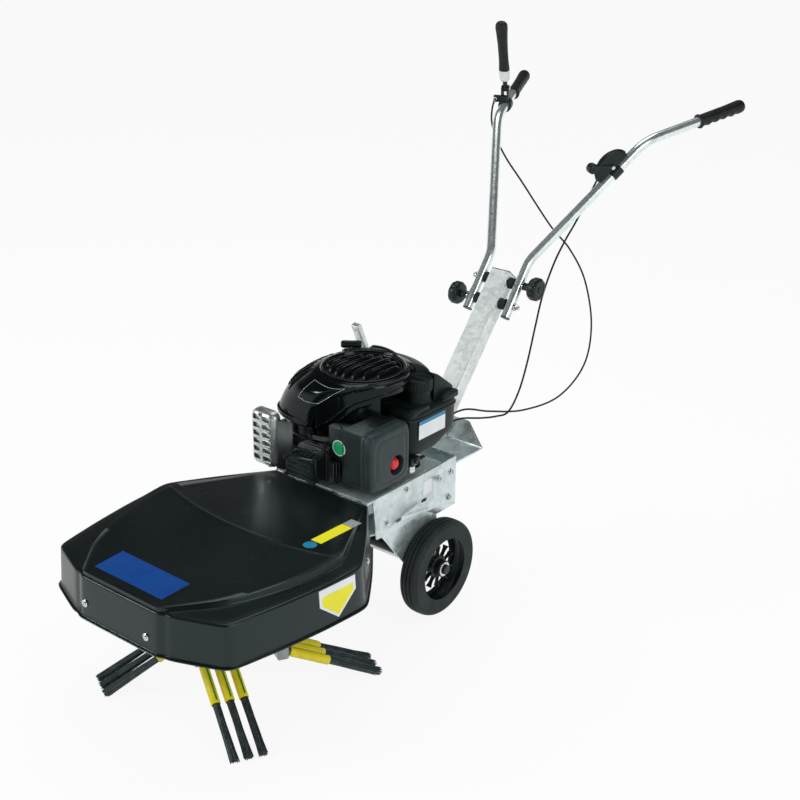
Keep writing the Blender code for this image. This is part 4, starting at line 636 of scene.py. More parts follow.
def sampled(points, steps, passes):
    """Read a half outline at even shares of each leg, then soften its corners."""
    line = []
    for a, b in zip(points, points[1:]):
        for k in range(steps):
            share = k / steps
            line.append(Vector((a[0] + (b[0] - a[0]) * share, a[1] + (b[1] - a[1]) * share)))
    line.append(Vector(points[-1]))
    for _ in range(passes):
        softer = [line[0].copy()]
        for before, here, after in zip(line, line[1:], line[2:]):
            softer.append(here * 0.5 + before * 0.25 + after * 0.25)
        softer.append(line[-1].copy())
        softer[0].y = (line[0].y + line[1].y) / 2
        line = softer
    return line


def both_sides(half):
    return [Vector((-p.x, p.y)) for p in reversed(half[1:])] + list(half)


def pushed(points, distance):
    moved = []
    for i, point in enumerate(points):
        along = (points[min(i + 1, len(points) - 1)] - points[max(i - 1, 0)]).normalized()
        moved.append(Vector((point.x + along.y * distance, point.y - along.x * distance)))
    return moved


def row_height(y):
    """Height of the raised panel where its edge is at this y."""
    if y < CREASE_SIDE:
        share = (y - HOOD_FRONT) / (CREASE_SIDE - HOOD_FRONT)
        return HOOD_TOP + 0.009 + (HOOD_CROWN - 0.009) * share
    fall = (y - CREASE_SIDE) / (PLATE_FRONT - CREASE_SIDE)
    return HOOD_TOP + HOOD_CROWN - (HOOD_CROWN - HOOD_REAR_RISE - 0.001) * fall


def row_bow(y):
    """How far a row's middle lies ahead of its ends."""
    if y < CREASE_SIDE:
        share = (y - HOOD_FRONT) / (CREASE_SIDE - HOOD_FRONT)
        return CREASE_BOW * share * share
    return CREASE_BOW * (1.0 - (y - CREASE_SIDE) / (PLATE_FRONT - CREASE_SIDE)) ** 1.5


def hood_edge(y):
    share = (y + 0.52) / (PLATE_FRONT + 0.52)
    return HOOD_TOP + HOOD_REAR_RISE * min(max(share, 0.0), 1.0)


OUTER_LINE = both_sides(sampled(HOOD_OUTER, HOOD_STEPS, 14))
PANEL_HALF = sampled(HOOD_PANEL, HOOD_STEPS, 14)
PANEL_LINE = both_sides(PANEL_HALF)


def panel_edge_x(y):
    for a, b in zip(PANEL_HALF[HOOD_STEPS:], PANEL_HALF[HOOD_STEPS + 1:]):
        if a.y <= y <= b.y and b.y > a.y:
            return a.x + (b.x - a.x) * (y - a.y) / (b.y - a.y)
    return PANEL_HALF[HOOD_STEPS].x if y < PANEL_HALF[HOOD_STEPS].y else PANEL_HALF[-1].x


def hood_z(x, y):
    """Height of the hood's raised panel over a point."""
    low = y
    high = min(y + CREASE_BOW, PLATE_FRONT - 0.002)
    for _ in range(30):
        guess = (low + high) / 2
        share = min(abs(x) / max(panel_edge_x(guess), 0.0001), 1.0)
        if guess - row_bow(guess) * (1 - share * share) < y:
            low = guess
        else:
            high = guess
    return row_height((low + high) / 2)


def hood_wall_x(y, z):
    """Half width of the hood's side wall at a height."""
    half = OUTER_LINE[len(OUTER_LINE) // 2:]
    for a, b in zip(half, half[1:]):
        if a.y <= y <= b.y and b.y > a.y and (a.x > 0.2):
            x = a.x + (b.x - a.x) * (y - a.y) / (b.y - a.y)
            return x + 0.006 * (HOOD_TOP - 0.005 - z) / 0.09
    return 0.3


def outer_band(outer, distance, rise):
    """Ring around the hood's foot, pushed out from the outline."""
    return [(p.x, p.y, HOOD_BOTTOM + rise) for p in pushed(outer, distance)]


def make_hood():
    outer = OUTER_LINE
    panel = PANEL_LINE
    rings = [outer_band(outer, distance, rise) for distance, rise in (
        (0.0122, -0.001), (0.0124, 0.0004), (0.0112, 0.0016), (0.0082, 0.0022), (0.0064, 0.0034))]
    foot = pushed(outer, 0.006)
    for share in (0.04, 0.08, 0.28, 0.5, 0.72, 0.9, 0.97):
        line = [a.lerp(b, share) for a, b in zip(foot, outer)]
        rings.append([(p.x, p.y, HOOD_BOTTOM + 0.002 + (hood_edge(p.y) - 0.0075 - HOOD_BOTTOM) * share)
                      for p in line])
    for degrees in (0, 18, 36, 54, 72, 90):
        turn = radians(degrees)
        line = pushed(outer, -HOOD_ROUND * (1 - cos(turn)))
        rings.append([(p.x, p.y, hood_edge(p.y) - HOOD_ROUND + HOOD_ROUND * sin(turn)) for p in line])
    edge = pushed(outer, -HOOD_ROUND)
    steps = []
    for e, p in zip(edge, panel):
        reach = (p - e).length
        steps.append(min(0.007, 0.45 * reach) / max(reach, 1e-6))
    for share in (0.35, 0.7, 0.86, 1.0):
        ring = []
        for e, p, step in zip(edge, panel, steps):
            spot = e.lerp(p, (1 - step) * share)
            ring.append((spot.x, spot.y, hood_edge(spot.y) + 0.001 * share))
        rings.append(ring)
    for across, rise in ((0.1, 0.02), (0.25, 0.14), (0.5, 0.52), (0.75, 0.88), (0.88, 1.0), (1.0, 1.06)):
        ring = []
        for e, p, step in zip(edge, panel, steps):
            spot = e.lerp(p, 1 - step * (1 - across))
            low = hood_edge(spot.y) + 0.001
            high = row_height(p.y) - 0.0004
            ring.append((spot.x, spot.y, low + (high - low) * rise))
        rings.append(ring)
    bm = bmesh.new()
    verts = [[bm.verts.new(p) for p in ring] for ring in rings]
    skin(bm, verts, closed=False)
    fill_panel(bm, verts[-1])
    mesh = thickened(facing_up(from_bmesh(bm)), 0.0036, -1.0)
    piece("hood_shell", mesh, HOOD, ["deck_hood"], sharp=50.0)


def fill_panel(bm, border):
    """Close the raised panel with rows that bow forward, and a crease where its slope changes."""
    middle = len(border) // 2
    columns = 2 * HOOD_STEPS + 1
    right = border[middle + HOOD_STEPS:]
    left = list(reversed(border[:middle - HOOD_STEPS + 1]))
    before = border[middle - HOOD_STEPS:middle + HOOD_STEPS + 1]
    for k in range(1, len(right)):
        end = right[k].co
        y = end.y
        ridge = 0.0011 * exp(-((y - CREASE_SIDE) / 0.0035) ** 2)
        level = row_height(y)
        row = [left[k]]
        for c in range(1, columns - 1):
            share = -1.0 + 2.0 * c / (columns - 1)
            inside = min((1 - abs(share)) * abs(end.x) / 0.006, 1.0)
            row.append(bm.verts.new((share * end.x, y - row_bow(y) * (1 - share * share),
                                     level + ridge * inside + 0.0005 * (1 - inside))))
        row.append(right[k])
        for c in range(columns - 1):
            if before[c] is not row[c]:
                bm.faces.new((before[c], before[c + 1], row[c + 1], row[c]))
        before = row


def hood_spot(x, y):
    """A point just over the hood's raised panel."""
    return x, y, hood_z(x, y) + 0.0001


def label_on_hood(name, bm, mat):
    """Finish a thin plain label from its lower face."""
    piece(name, thickened(facing_up(from_bmesh(bm)), 0.0003, 1.0), mat)


def slab_on_hood(name, corners, mat, cells=10):
    """Four-cornered label laid on the hood's raised panel."""
    a, b, c, d = [Vector(p) for p in corners]
    bm = bmesh.new()
    grid = []
    for i in range(cells + 1):
        sides = a.lerp(b, i / cells), d.lerp(c, i / cells)
        grid.append([bm.verts.new(hood_spot(*sides[0].lerp(sides[1], j / cells)))
            for j in range(cells + 1)])
    for low, high in zip(grid, grid[1:]):
        for j in range(cells):
            bm.faces.new((low[j], high[j], high[j + 1], low[j + 1]))
    label_on_hood(name, bm, mat)


def make_hood_labels():
    slab_on_hood("front_label", [(-0.114, -0.745), (0.099, -0.748), (0.098, -0.826), (-0.111, -0.825)],
        BLUE)
    for name, front, rear, mat in (("middle", -0.455, -0.352, SUN), ("rear", -0.35, -0.32, SILVER)):
        corners = [(0.168, front), (0.198, front), (0.198, rear), (0.168, rear)]
        slab_on_hood("strip_label_" + name, corners, mat)
    bm = bmesh.new()
    x, y = 0.183, -0.474
    hub = bm.verts.new(hood_spot(x, y))
    ring = []
    for i in range(40):
        angle = 2 * pi * i / 40
        ring.append(bm.verts.new(hood_spot(x + 0.0155 * cos(angle), y + 0.0155 * sin(angle))))
    for i in range(40):
        bm.faces.new((hub, ring[i], ring[(i + 1) % 40]))
    label_on_hood("strip_label_round", bm, SKY)
    outline = [(-0.576, 0.3655), (-0.472, 0.3655), (-0.472, 0.333), (-0.526, 0.287), (-0.576, 0.327)]
    middle = Vector((sum(p[0] for p in outline) / 5, sum(p[1] for p in outline) / 5))
    for name, mat, share, lift in (("side_label", PALE, 1.0, 0.0016),
            ("side_label_field", SUN, 0.86, 0.002)):
        rings = []
        for out in (-0.0006, lift):
            ring = []
            for corner in outline:
                spot = middle + (Vector(corner) - middle) * share
                if share < 1.0:
                    spot.y = min(spot.y, 0.349)
                ring.append((hood_wall_x(spot.x, spot.y) + out, spot.x, spot.y))
            rings.append(ring)
        piece(name, loft(rings), mat)


def make_hood_screws():
    places = ((-0.106, -0.8633, 0.311, (0, -1, 0.06)), (0.085, -0.8633, 0.306, (0, -1, 0.06)),
              (0.2555, -0.3665, 0.333, (0.82, 0.6, 0.05)), (-0.2555, -0.3665, 0.333, (-0.82, 0.6, 0.05)))
    for index, (x, y, z, direction) in enumerate(places):
        head = turned([(0, -0.001), (0.0085, -0.001), (0.0085, 0.0006), (0.0078, 0.0012), (0.0056, 0.0013),
                       (0.0054, 0.0026), (0.004, 0.0038), (0, 0.0042)], 36)
        head = carve(head, [box((-0.003, -0.0006, 0.0028), (0.003, 0.0006, 0.008)),
                            box((-0.0006, -0.003, 0.0028), (0.0006, 0.003, 0.008))])
        head.transform(facing((x, y, z), direction))
        piece("hood_screw_%d" % (index + 1), head, BOLT)


# Frame

REAR_WEB_Y = 0.112
REAR_BOTTOM = 0.255
TRAY_REAR = 0.215
TRAY_Z = 0.366
TRAY_LIP = 0.042
TRAY_LIP_HALF = 0.069
TRAY_LIP_FOOT = 0.137
POST_FOOT = Vector((-0.11, 0.164, TRAY_Z + 0.001))
POST_LEAN = radians(24)
POST_LEN = 0.358


def bent_channel(half, top, bottom, sheet, bend):
    """Section of a channel with rounded bends, in X and height."""
    outer = [(-half, bottom)]
    inner = [(-half + sheet, bottom)]
    for centre, start in ((-half + bend, 180), (half - bend, 90)):
        for step in range(9):
            angle = radians(start - 90 * step / 8)
            for line, radius in ((outer, bend), (inner, bend - sheet)):
                line.append((centre + radius * cos(angle), top + (-bend + radius * sin(angle))))
    outer.append((half, bottom))
    inner.append((half - sheet, bottom))
    return outer + list(reversed(inner))


def side_bolts(name, places, **sizes):
    """The same bolts on both sides, standing outward. Each place is (half width, y, z)."""
    for index, (x, y, z) in enumerate(places):
        for side_name, sign in SIDES:
            hex_bolt("%s_%d_%s" % (name, index + 1, side_name), (sign * x, y, z), (sign, 0, 0), **sizes)


def make_engine_plate():
    plate = prism(bent_channel(PLATE_HALF, PLATE_TOP, SIDE_BOTTOM, SHEET, 0.007), "y", PLATE_FRONT,
        PLATE_REAR)
    cutters = [prism([(PLATE_FRONT - 0.01, PLATE_TOP - 0.0075), (PLATE_FRONT + 0.02, PLATE_TOP - 0.0075),
                      (PLATE_FRONT + 0.038, SIDE_BOTTOM - 0.01), (PLATE_FRONT - 0.01, SIDE_BOTTOM - 0.01)],
                     "x", -0.2, 0.2),
               hole((0, CRANK_Y, PLATE_TOP), "z", 0.03, 0.02)]
    for y, z in ((-0.026, 0.316), (-0.122, 0.3)):
        cutters.append(box((-0.2, y - 0.006, z - 0.0045), (0.2, y + 0.006, z + 0.0045)))
        cutters.append(hole((0, y - 0.006, z), "x", 0.0045, 0.2))
        cutters.append(hole((0, y + 0.006, z), "x", 0.0045, 0.2))
    plate = rounded(carve(plate, cutters), 0.0006, 2, 40.0)
    piece("engine_plate_sheet", plate, ZINC, ["engine_plate"], sharp=30.0)
    side_bolts("plate_bolt", [(PLATE_HALF, -0.166, 0.307), (PLATE_HALF, -0.091, 0.367)],
               size=0.0055, height=0.0035, washer=0.008)
    label = prism([(-0.03, 0.33), (0.002, 0.33), (0.002, 0.366), (-0.03, 0.366)], "x",
                  PLATE_HALF, PLATE_HALF + 0.0004)
    piece("plate_label", label, PALE)


def make_tray(half):
    """The folded tray behind the web, with a bend up into a lip that slants at both ends."""
    front = REAR_WEB_Y - SHEET
    rear = TRAY_REAR - 0.006
    bend = 0.01
    floor_line = [(front, TRAY_Z), (rear, TRAY_Z)]
    upper_line = [(front, TRAY_Z + SHEET), (TRAY_REAR - 0.009, TRAY_Z + SHEET)]
    for step in range(1, 6):
        angle = radians(45 * step / 5)
        for line, radius, level in ((floor_line, bend + SHEET, TRAY_Z), (upper_line, bend, TRAY_Z + SHEET)):
            line.append((rear + radius * sin(angle), level + radius * (1 - cos(angle))))
    floor_line.append((TRAY_REAR + TRAY_LIP, TRAY_Z + TRAY_LIP))
    upper_line.append((TRAY_REAR + TRAY_LIP - 0.003, TRAY_Z + TRAY_LIP + 0.003))
    tray = prism(floor_line + list(reversed(upper_line)), "x", -half, half)
    lip_top = TRAY_Z + TRAY_LIP
    lip_foot = TRAY_Z + SHEET + 0.0005
    slants = []
    for _, sign in SIDES:
        outline = [(TRAY_LIP_HALF, lip_top + 0.01), (TRAY_LIP_HALF, lip_top), (TRAY_LIP_FOOT, lip_foot),
                   (half + 0.01, lip_foot), (half + 0.01, lip_top + 0.01)]
        slants.append(prism([(sign * x, z) for x, z in outline], "y", TRAY_REAR, TRAY_REAR + 2 * TRAY_LIP))
    return carve(tray, slants)


def make_rear_plate():
    half = PLATE_HALF - SHEET - 0.0003
    back = prism(bent_channel(half, REAR_WEB_Y, 0.004, SHEET, 0.009), "z", REAR_BOTTOM,
        PLATE_TOP - SHEET - 0.0003)
    back = carve(back, [prism([(-0.1, 0.2), (0.03, 0.2), (0.03, 0.262), (-0.1, 0.3)], "x", -0.3, 0.3)])
    sheet = rounded(carve(back, [make_tray(half)], "UNION"), 0.0006, 2, 40.0)
    post = rounded(box((-0.012, -0.007, 0), (0.012, 0.007, POST_LEN)), 0.0022, 3)
    bore = rounded(box((-0.0102, -0.0052, 0.02), (0.0102, 0.0052, POST_LEN + 0.01)), 0.0012, 2)
    post = carve(post, [bore, hole((0, 0, POST_LEN - 0.014), "y", 0.003, 0.03)])
    post.transform(Matrix.Translation(POST_FOOT) @ Matrix.Rotation(POST_LEAN, 4, "X"))
    piece("rear_plate_sheet", sheet, ZINC, ["rear_plate"], sharp=30.0)
    piece("open_post", post, POST, ["rear_plate"])
    corners = [(-0.013, -0.007), (0.013, -0.007), (0.0135, 0.0085), (-0.0135, 0.0085), (-0.013, -0.007)]
    weld = rod([POST_FOOT + Vector((x, y, 0.0035)) for x, y in corners], 0.0018, 10)
    piece("post_weld", weld, POST)
    side_bolts("rear_bolt", [(half, 0.084, 0.35), (half, 0.078, 0.284), (PLATE_HALF, 0.03, 0.352)],
               size=0.0065, height=0.0045, washer=0.0095, stud=0.003)


def make_axle_bracket():
    half = PLATE_HALF - 2 * SHEET - 0.0006
    top = PLATE_TOP - SHEET - 0.01
    low = 0.085
    rear = 0.038
    cheek = [(-0.185, top), (-0.17, SIDE_BOTTOM - 0.012), (-0.025, low), (rear, low), (rear, top)]
    hollow = [(-0.3, top + 0.01), (-0.3, low - 0.01), (rear - SHEET, low - 0.01),
        (rear - SHEET, top + 0.01)]
    bracket = carve(prism(cheek, "x", -half, half),
                    [prism(hollow, "x", -half + SHEET, half - SHEET),
                    hole((0, AXLE_Y, AXLE_Z), "x", 0.013, 0.5)])
    piece("axle_bracket_sheet", rounded(bracket, 0.0012, 2, 40.0), ZINC, ["axle_bracket"], sharp=30.0)
    axle = turned(mirrored([(0, 0.194), (0.0105, 0.194), (0.0122, 0.193), (0.0125, 0.1915)]), 48,
                  (0, AXLE_Y, AXLE_Z), (1, 0, 0))
    piece("axle_bar", axle, AXLE, ["axle"])
    for side_name, sign in SIDES:
        collar = turned(mirrored([(0.0127, 0.005), (0.019, 0.005), (0.02, 0.004)]), 48,
                        (sign * 0.13, AXLE_Y, AXLE_Z), (1, 0, 0))
        piece("axle_collar_" + side_name, collar, BOLT)
    centre = Vector((0.043, AXLE_Y, AXLE_Z))
    loop = []
    for i in range(49):
        angle = radians(-150 + 300 * i / 48)
        loop.append(centre + Vector((0.004 * sin(angle * 0.5), 0.0165 * sin(angle),
            0.0165 * cos(angle) + 0.002)))
    piece("lynch_ring", rod(loop, 0.0012, 10), BOLT)
    piece("lynch_pin", rod([(0.043, AXLE_Y, 0.104), (0.043, AXLE_Y, 0.146)], 0.0028, 16), BOLT)


# Wheels

WHEEL_R = 0.125
WHEEL_X = 0.163
TYRE_W = 0.05
RIM_R = 0.064
HUB_R = 0.022
SPOKES = 10
SPOKE_POWER = 2 / 0.6


def tyre_section():
    """Half section of the tyre from the bead over the shoulder to the tread's middle."""
    half = TYRE_W / 2
    line = [(RIM_R + 0.0008, half - 0.006), (RIM_R + 0.0012, half - 0.0032),
        (RIM_R + 0.004, half - 0.0012), (RIM_R + 0.008, half - 0.0002), (RIM_R + 0.012, half)]
    for r in (0.081, 0.088, 0.095, 0.102):
        line += [(r - 0.0014, half - 0.0004), (r - 0.0006, half - 0.0013), (r + 0.0006, half - 0.0013),
            (r + 0.0014, half - 0.0004)]
    for step in range(8):
        angle = radians(90 * step / 7)
        line.append((0.11 + 0.0135 * sin(angle), half - 0.011 + 0.0106 * cos(angle)))
    line += [(0.1242, half - 0.0125), (0.1236, half - 0.0132), (0.1212, half - 0.0136),
        (0.1212, half - 0.0156), (0.124, half - 0.016), (0.1247, half - 0.0168), (0.1249, 0.004),
        (0.1249, 0.003), (0.1244, 0.0022), (0.1216, 0.0018)]
    return line


def make_wheel(label, sign):
    centre = Vector((sign * WHEEL_X, AXLE_Y, WHEEL_R))
    body = "wheel_" + label
    tyre = turned(mirrored(tyre_section()), 144, centre, (sign, 0, 0))
    piece("tyre_" + label + "_rubber", tyre, TYRE, ["tyre_" + label], sharp=40.0, body=body)
    rim = turned([
        (RIM_R - 0.0095, -0.019), (RIM_R - 0.0065, -0.0215), (RIM_R - 0.002, -0.0215), (RIM_R, -0.019),
        (RIM_R, 0.019), (RIM_R - 0.002, 0.0215), (RIM_R - 0.0065, 0.0215), (RIM_R - 0.0095, 0.019),
        (RIM_R - 0.0105, 0.006), (RIM_R - 0.013, 0.004), (RIM_R - 0.013, -0.004),
        (RIM_R - 0.0105, -0.006)], 120)
    hub = turned(mirrored([(0.0132, 0.0225), (0.0195, 0.0225), (0.0215, 0.0205), (HUB_R, 0.006),
                           (0.029, 0.0036)]), 96)
    parts = [rim, hub]
    for i in range(SPOKES):
        rings = [rounded_ring(0.0008 * sin(r * 90), 0, wide / 2, tall / 2, SPOKE_POWER, r, 16, "x")
                 for r, wide, tall in ((0.02, 0.0052, 0.015), (0.028, 0.004, 0.012), (0.038, 0.0032, 0.01),
                                       (0.047, 0.0034, 0.012), (0.056, 0.005, 0.017))]
        spoke = loft(rings)
        spoke.transform(Matrix.Rotation(2 * pi * i / SPOKES, 4, "Z"))
        parts.append(spoke)
    wheel = joined(parts)
    wheel.transform(facing(centre, (sign, 0, 0)))
    piece("rim_" + label + "_plastic", wheel, SATIN, ["rim_" + label], sharp=40.0, body=body)
    ring = turned([(0.0129, 0.021), (0.015, 0.021), (0.0182, 0.0215), (0.0186, 0.0232), (0.0175, 0.024),
                   (0.0152, 0.0243), (0.0129, 0.024)], 64, centre, (sign, 0, 0))
    piece("hub_ring_" + label, ring, BOLT, body=body)
    clip = turned([(0, 0.0265), (0.0098, 0.0265), (0.0118, 0.0272), (0.0122, 0.0284), (0.0108, 0.03),
                   (0, 0.0304)], 48, centre + Vector((sign * 0.0012, 0, 0)), (sign, 0, 0))
    piece("axle_clip_" + label, clip, SATIN)


# Brush head

SPINDLE_Y = -0.524
DISC_Z = 0.139
SLEEVE_LEN = 0.112
WIRE_LEN = 0.143
TUFT_PITCH = 0.032
STRANDS = 64
TIP_Z = 0.0008
BRUSH_PULLEY_R = 0.08
DRIVE_PULLEY_R = 0.035


def tuft_frame(group, index):
    place_angle = radians(-50.2 + 90 * group)
    aim = place_angle + radians(22.9)
    slope = radians(26.5)
    row = Vector((-sin(aim), cos(aim), 0))
    flat = Vector((cos(aim), sin(aim), 0))
    direction = flat * cos(slope) - Vector((0, 0, 1)) * sin(slope)
    end_z = 0.003 + WIRE_LEN * sin(slope)
    end = Vector((0.196 * cos(place_angle), SPINDLE_Y + 0.196 * sin(place_angle), end_z))
    return end + row * TUFT_PITCH * index, direction, row, flat


def strand_bundle(bm, end, direction, side, other, rng):
    """Steel strands that leave the sleeve packed and spread a little, with a slow common twist."""
    golden = pi * (3 - sqrt(5))
    twist = rng.uniform(0.5, 0.8)
    for k in range(STRANDS):
        share = sqrt((k + 0.5) / STRANDS)
        length = WIRE_LEN * rng.uniform(0.965, 1.0)
        wobble = rng.uniform(0, 2 * pi)
        points = []
        for s in range(8):
            t = s / 7
            along = length * t if s else -0.012
            radius = (0.0078 + (0.0108 - 0.0078) * max(along, 0) / WIRE_LEN) * share
            radius -= 0.0006 * sin(pi * t) * share
            turn = k * golden + twist * t
            drift = 0.00035 * sin(wobble + 5.0 * t)
            points.append(end + direction * along + side * (radius * cos(turn) + drift)
                          + other * (radius * sin(turn) + drift))
        tip = points[-1]
        if tip.z < TIP_Z:
            points[-1] = tip - direction * ((tip.z - TIP_Z) / direction.z)
            if (points[-1] - points[-2]).dot(direction) < 0.002:
                points.pop(-2)
        rings = [[bm.verts.new(p) for p in circle(point, across, above, 0.00085, 5)]
                 for point, _, across, above in frames_along(points)]
        skin(bm, rings)
        bm.faces.new(rings[-1])
        bm.faces.new(rings[0])


def make_clamp_bar(group):
    end, direction, _, flat = tuft_frame(group, 0)
    root = end - direction * SLEEVE_LEN
    top = DISC_Z - 0.0003
    bar = box((-0.026, -TUFT_PITCH - 0.016, top - 0.034), (0, TUFT_PITCH + 0.016, top))
    bar.transform(Matrix.Translation((root.x, root.y, 0)) @ Matrix.Rotation(atan2(flat.y, flat.x), 4, "Z"))
    piece("clamp_bar_%d" % (group + 1), rounded(bar, 0.0025, 3), STEEL, ["wire_tufts_%d" % (group + 1)],
          body="brush")


def make_sleeve(number, end, direction, row, other):
    """One tuft's plastic sleeve with a green stripe along its top, and the wire core inside."""
    mouth = end - direction * 0.001
    back = end - direction * (SLEEVE_LEN - 0.006)
    length = (mouth - back).length
    profile = [(0.0088, 0.0), (0.0104, 0.0), (0.011, 0.001), (0.011, 0.012), (0.01085, 0.04), (0.011, 0.07),
               (0.011, length - 0.0012), (0.0104, length), (0.009, length), (0.0088, length - 0.001)]
    sleeve = turned(profile, 48, back, direction)
    piece("sleeve_%02d_plastic" % number, sleeve, YELLOW, ["tuft_sleeve_%02d" % number], body="brush")
    core = rod([back - direction * 0.016, mouth - direction * 0.004], 0.0084, 24)
    piece("tuft_core_%02d" % number, core, WIRE, body="brush")
    bm = bmesh.new()
    rows = []
    for s in range(10):
        spot = back + direction * (0.006 + (length - 0.012) * s / 9)
        verts = []
        for k in range(5):
            angle = radians(66 + 5 * k)
            lift = row * cos(angle) - other * sin(angle)
            lift = lift if lift.z > 0 else row * cos(angle) + other * sin(angle)
            verts.append(bm.verts.new(spot + lift * 0.01115))
        rows.append(verts)
    skin(bm, rows, closed=False)
    piece("sleeve_stripe_%02d" % number, thickened(from_bmesh(bm), 0.0004, 0.0), GREEN, body="brush")


def make_tufts():
    rng = random.Random(11)
    number = 0
    for group in range(4):
        make_clamp_bar(group)
        bm = bmesh.new()
        for index in (-1, 0, 1):
            number += 1
            end, direction, row, _ = tuft_frame(group, index)
            other = direction.cross(row)
            strand_bundle(bm, end, direction, row, other, rng)
            make_sleeve(number, end, direction, row, other)
        piece("wire_strands_%d" % (group + 1), from_bmesh(bm), WIRE, ["wire_tufts_%d" % (group + 1)],
            sharp=60.0,
              body="brush")


def groove_side(radius, half):
    """Lower half of a pulley's rim, from its face to the bottom of the groove."""
    floor = radius - 0.008 - 0.0012
    return [(radius - 0.0005, half), (radius, half - 0.0005), (radius, 0.007), (floor, 0.005)]


def make_belt():
    """Belt around both pulleys. The section's points are (distance from the pitch line, height)."""
    lean = asin((BRUSH_PULLEY_R - DRIVE_PULLEY_R) / (CRANK_Y - SPINDLE_Y))
    rings = []
    for offset, level in ((-0.008, -0.0035), (-0.008, 0.0035), (-0.0004, 0.0055), (0.0, 0.005),
        (0.0, -0.005),
                          (-0.0004, -0.0055)):
        loop = []
        for radius, y, start, sweep, steps in (
                (DRIVE_PULLEY_R + offset, CRANK_Y, lean, pi - 2 * lean, 48),
                (BRUSH_PULLEY_R + offset, SPINDLE_Y, pi - lean, pi + 2 * lean, 64)):
            for i in range(steps + 1):
                angle = start + sweep * i / steps
                loop.append((radius * cos(angle), y + radius * sin(angle), BELT_Z + level))
        rings.append(loop)
    bm = bmesh.new()
    verts = [[bm.verts.new(p) for p in loop] for loop in rings]
    skin(bm, verts + verts[:1])
    piece("belt_rubber", from_bmesh(bm), RUBBER, ["drive_belt"])


def make_drive():
    disc = turned([
        (0, DISC_Z - 0.022), (0.02, DISC_Z - 0.022), (0.022, DISC_Z - 0.02), (0.028, DISC_Z - 0.001),
        (0.1345, DISC_Z), (0.135, DISC_Z + 0.0006), (0.135, DISC_Z + 0.0054), (0.1345, DISC_Z + 0.006),
        (0.034, DISC_Z + 0.006), (0.031, DISC_Z + 0.008), (0.028, DISC_Z + 0.026), (0.0125, DISC_Z + 0.028),
        (0.0125, 0.343), (0.0115, 0.345), (0, 0.345)], 128, (0, SPINDLE_Y, 0))
    piece("brush_disc_steel", disc, STEEL, ["brush_disc"], body="brush")
    top = 0.2835 - 0.0003
    housing = turned([
        (0.013, top - 0.07), (0.03, top - 0.07), (0.0335, top - 0.0685), (0.035, top - 0.066),
        (0.035, top - 0.0115), (0.037, top - 0.0095), (0.0545, top - 0.008), (0.055,
        top - 0.0075), (0.055, top),
        (0.013, top)], 96, (0, SPINDLE_Y, 0))
    piece("bearing_housing_cast", housing, STEEL, ["bearing_housing"])
    for i in range(4):
        hex_bolt("housing_bolt_%d" % (i + 1), polar(0.046, 45 + 90 * i, top - 0.0088, SPINDLE_Y),
            (0, 0, -1),
                 size=0.005, height=0.004, washer=0.007)
    half = 0.011
    brush_pulley = turned([
        (0.0128, -half), *mirrored(groove_side(BRUSH_PULLEY_R, half)), (0.07, half), (0.068, half - 0.003),
        (0.026, half - 0.003), (0.024, half), (0.0128, half)], 128, (0, SPINDLE_Y, BELT_Z))
    piece("brush_pulley_steel", brush_pulley, STEEL, ["brush_pulley"], body="brush")
    drive_pulley = turned([
        (0, -half), *mirrored(groove_side(DRIVE_PULLEY_R, half)), (0.02, half), (0.0195, half + 0.012),
        (0.0127, half + 0.0125), (0.0127, 0.0715), (0.012, 0.072), (0, 0.072)], 96, (0, CRANK_Y, BELT_Z))
    piece("drive_pulley_steel", drive_pulley, STEEL, ["drive_pulley"], body="crankshaft")
    make_belt()
    idler = turned(mirrored([(0.0065, 0.008), (0.0225, 0.008), (0.024, 0.007), (0.024, 0.0055),
                             (0.0228, 0.0045)]), 72, (-0.0819, -0.3149 - SHIFT_Y, BELT_Z))
    piece("idler_pulley_steel", idler, STEEL, ["idler_pulley"], body="idler_wheel")


def bevelled_copy(node, name, mat, body, width=0.0008):
    """A CAD node's own shape with small rounded edges, as a piece of its own."""
    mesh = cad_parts[node].data.copy()
    mesh.name = name
    bm = bmesh.new()
    bm.from_mesh(mesh)
    bmesh.ops.remove_doubles(bm, verts=bm.verts, dist=2e-06)
    bmesh.ops.dissolve_limit(bm, angle_limit=radians(2.0), verts=bm.verts, edges=bm.edges)
    bm.to_mesh(mesh)
    bm.free()
    mesh.transform(Matrix.Translation((0.0, -SHIFT_Y, 0.0)))
    mesh = rounded(mesh, width, 2, 30.0)
    return piece(name, mesh, mat, [node], body=body)


# Engine

SHROUD_BASE = 0.505
HEAD_X = -0.016
HEAD_Z = 0.441
TRIM = [(-117, 0.591), (-112, 0.633), (-100, 0.632), (-86, 0.631), (-70, 0.633), (-81, 0.618),
    (-95, 0.59), (-107, 0.588)]
SHROUD_LINE = [(-0.025, -0.094, 0.16, 0.144, 3.0, 0.49), (-0.025, -0.094, 0.16, 0.144, 3.0, 0.505),
    (-0.027, -0.095, 0.164, 0.146, 3.0, 0.53), (-0.0255, -0.093, 0.1585, 0.1445, 2.8, 0.56),
    (-0.02, -0.09, 0.153, 0.144, 2.6, 0.585), (-0.011, -0.086, 0.147, 0.144, 2.3, 0.607),
    (-0.002, -0.082, 0.1385, 0.14, 2.1, 0.622), (0.0, -0.082, 0.127, 0.127, 2.0, 0.6325),
    (0.0, -0.082, 0.115, 0.115, 2.0, 0.6385), (0.0, -0.082, 0.1025, 0.1025, 2.0, 0.6415)]
CAP_POS = (0.1, 0.001)
SIDE_R = 0.11
BOSS_REACH = [(78, 0.11), (90, 0.12), (100, 0.128), (110, 0.136), (120, 0.14), (126, 0.145),
    (140, 0.15), (152, 0.147)]
LIP_LOW = 0.5262
LIP_TOP = 0.54
RIM_Z = 0.642
RIM_R = 0.101
GRILLE_R = 0.086
